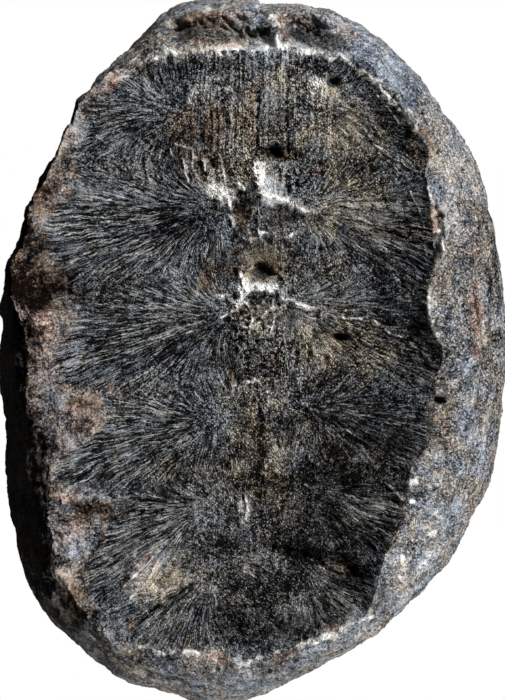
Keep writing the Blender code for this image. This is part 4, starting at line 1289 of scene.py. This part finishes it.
crystals = add("TexVoronoi", {"Vector": place, "Scale": 5600.0})
specks = add("TexVoronoi", {"Vector": place, "Scale": 9500.0})
narrow, wide = splinters(0.085, 0.9), splinters(0.16, 1.6)
strand = blend(mark("clear"), lit_cells(crystals), lit_cells(narrow))
sheaf = blend(mark("clear"), mottle, lit_cells(wide))
threads = rise(calculate("MULTIPLY_ADD", fine_grain, 0.5, strand), 0.55, 1.0)
# The shade mark's painted shade and light, and tone, are added to the lightness here.
lightness = calculate("ADD", mark("light"), mark("shade"))
texture = varied(0.0, (strand, 0.6), (sheaf, 0.3), (lit_cells(specks), 0.6), (fine_grain, 1.1))
texture = calculate("MULTIPLY_ADD", threads, 0.2, texture)
hair = calculate("MULTIPLY", hairs(splinters(0.24, 1.7)), mark("clear"))
texture = calculate("ADD", texture, calculate("MULTIPLY_ADD", hair, 0.66, -0.06))
bone_tone = calculate("MULTIPLY_ADD", texture, mark("rough"), calculate("SUBTRACT", lightness, 0.11))
layers = add("VectorMath", {0: place, 1: (1.0, 1.0, 6.0)}, operation="MULTIPLY").outputs[0]
strata = add("TexNoise", {"Vector": layers, "Scale": 380.0, "Detail": 3.0}).outputs[0]
patch = grains(480.0, 2.0)
roughness = varied(0.0, (lit_cells(crystals), 0.4), (lit_cells(specks), 0.4), (grain, 0.6), (fine_grain, 0.7),
                   (mottle, 0.4))
roughness = calculate("MULTIPLY", roughness, blend(mark("left"), 1.0, 0.9))
rock_tone = varied(calculate("ADD", calculate("ADD", lightness, 0.06), roughness), (strata, 0.8), (patch, 0.7))
tone = calculate("POWER", calculate("MAXIMUM", blend(mark("bone"), rock_tone, bone_tone), 0.0), 2.1)

hue = add("SeparateColor", {0: narrow.outputs["Color"]}).outputs[1]
bone_tint = mix(rise(varied(tint, (hue, 0.45), (mottle, 0.3)), 0.4, 0.75), (0.33, 0.385, 0.455, 1), (0.42, 0.40, 0.37, 1))
bone_tint = mix(hair, bone_tint, (0.54, 0.52, 0.46, 1))
bone_colour = mix(tone, (0.005, 0.005, 0.0055, 1), bone_tint)
film_colour = mix(tone, (0.006, 0.005, 0.003, 1), (0.74, 0.63, 0.46, 1))
bone_colour = mix(calculate("MULTIPLY", mark("film"), 0.9), bone_colour, film_colour)

rock_tint = mix(rise(varied(tint, (mottle, 0.6), (grain, 0.5)), 0.35, 0.65), (0.52, 0.58, 0.66, 1), (0.70, 0.61, 0.51, 1))
rock_colour = mix(tone, (0.004, 0.004, 0.004, 1), rock_tint)
# On the left the rock is browner and darker: partly its own colour, and partly painted shade on the side away from the
# lamps.
dark_rock = mix(tone, (0.005, 0.004, 0.004, 1), mix(rise(varied(tint, (mottle, 0.8), (grain, 0.6)), 0.35, 0.65), (0.42, 0.42, 0.44, 1), (0.52, 0.38, 0.29, 1)))
rock_colour = mix(rise(mark("left"), 0.6, 1.0), rock_colour, dark_rock)
pitted = calculate("MULTIPLY", rise(pore, 0.2, 0.1), rise(mottle, 0.45, 0.6))
rock_colour = mix(pitted, rock_colour, (0.02, 0.018, 0.016, 1))
colour = mix(mark("bone"), rock_colour, bone_colour)

brown_colour = mix(tone, (0.006, 0.003, 0.002, 1), (0.42, 0.28, 0.17, 1))
grain_hue = add("SeparateColor", {0: crystals.outputs["Color"]}).outputs[1]
rust_tint = mix(rise(varied(grain_hue, (grain, 0.8)), 0.45, 0.8), (0.74, 0.42, 0.31, 1), (0.80, 0.74, 0.70, 1))
rust_colour = mix(tone, (0.02, 0.009, 0.006, 1), rust_tint)
blue_colour = mix(tone, (0.006, 0.009, 0.015, 1), (0.42, 0.50, 0.66, 1))
whiteness = calculate("MULTIPLY_ADD", mark("chalk"), 0.6, calculate("POWER", tone, 0.6))
chalk_colour = mix(whiteness, (0.24, 0.22, 0.20, 1), (1.0, 0.98, 0.94, 1))
black_colour = mix(tone, (0.002, 0.002, 0.002, 1), (0.13, 0.13, 0.135, 1))
coats = (
    ("brown", brown_colour, 0.8),
    ("black", black_colour, 1.0),
    ("blue", blue_colour, 0.6),
    ("rust", rust_colour, 0.8),
    ("chalk", chalk_colour, 1.0),
)
for name, coat, cover in coats:
    flecked = varied(mark(name), (grain, 1.0), (mottle, 0.9))
    colour = mix(calculate("MULTIPLY", rise(flecked, 0.1, 0.85), cover), colour, coat)
links.new(colour, shader.inputs["Base Color"])
links.new(rise(fine_grain, 0.1, 0.8), shader.inputs["Roughness"])
links.new(calculate("MULTIPLY", rise(tone, 0.0, 0.5), 0.5), shader.inputs["Specular IOR Level"])
raised = blend(mark("clear"), rise(crystals.outputs["Distance"], 0.7, 0.0), rise(narrow.outputs["Distance"], 0.7, 0.0))
relief = calculate("MULTIPLY_ADD", fine_grain, 0.3, blend(mark("bone"), grain, raised))
bump = add("Bump", {"Height": relief, "Strength": 1.0, "Distance": 0.15 * MM})
links.new(bump.outputs[0], shader.inputs["Normal"])
for piece in pieces:
    piece.data.materials.append(material)
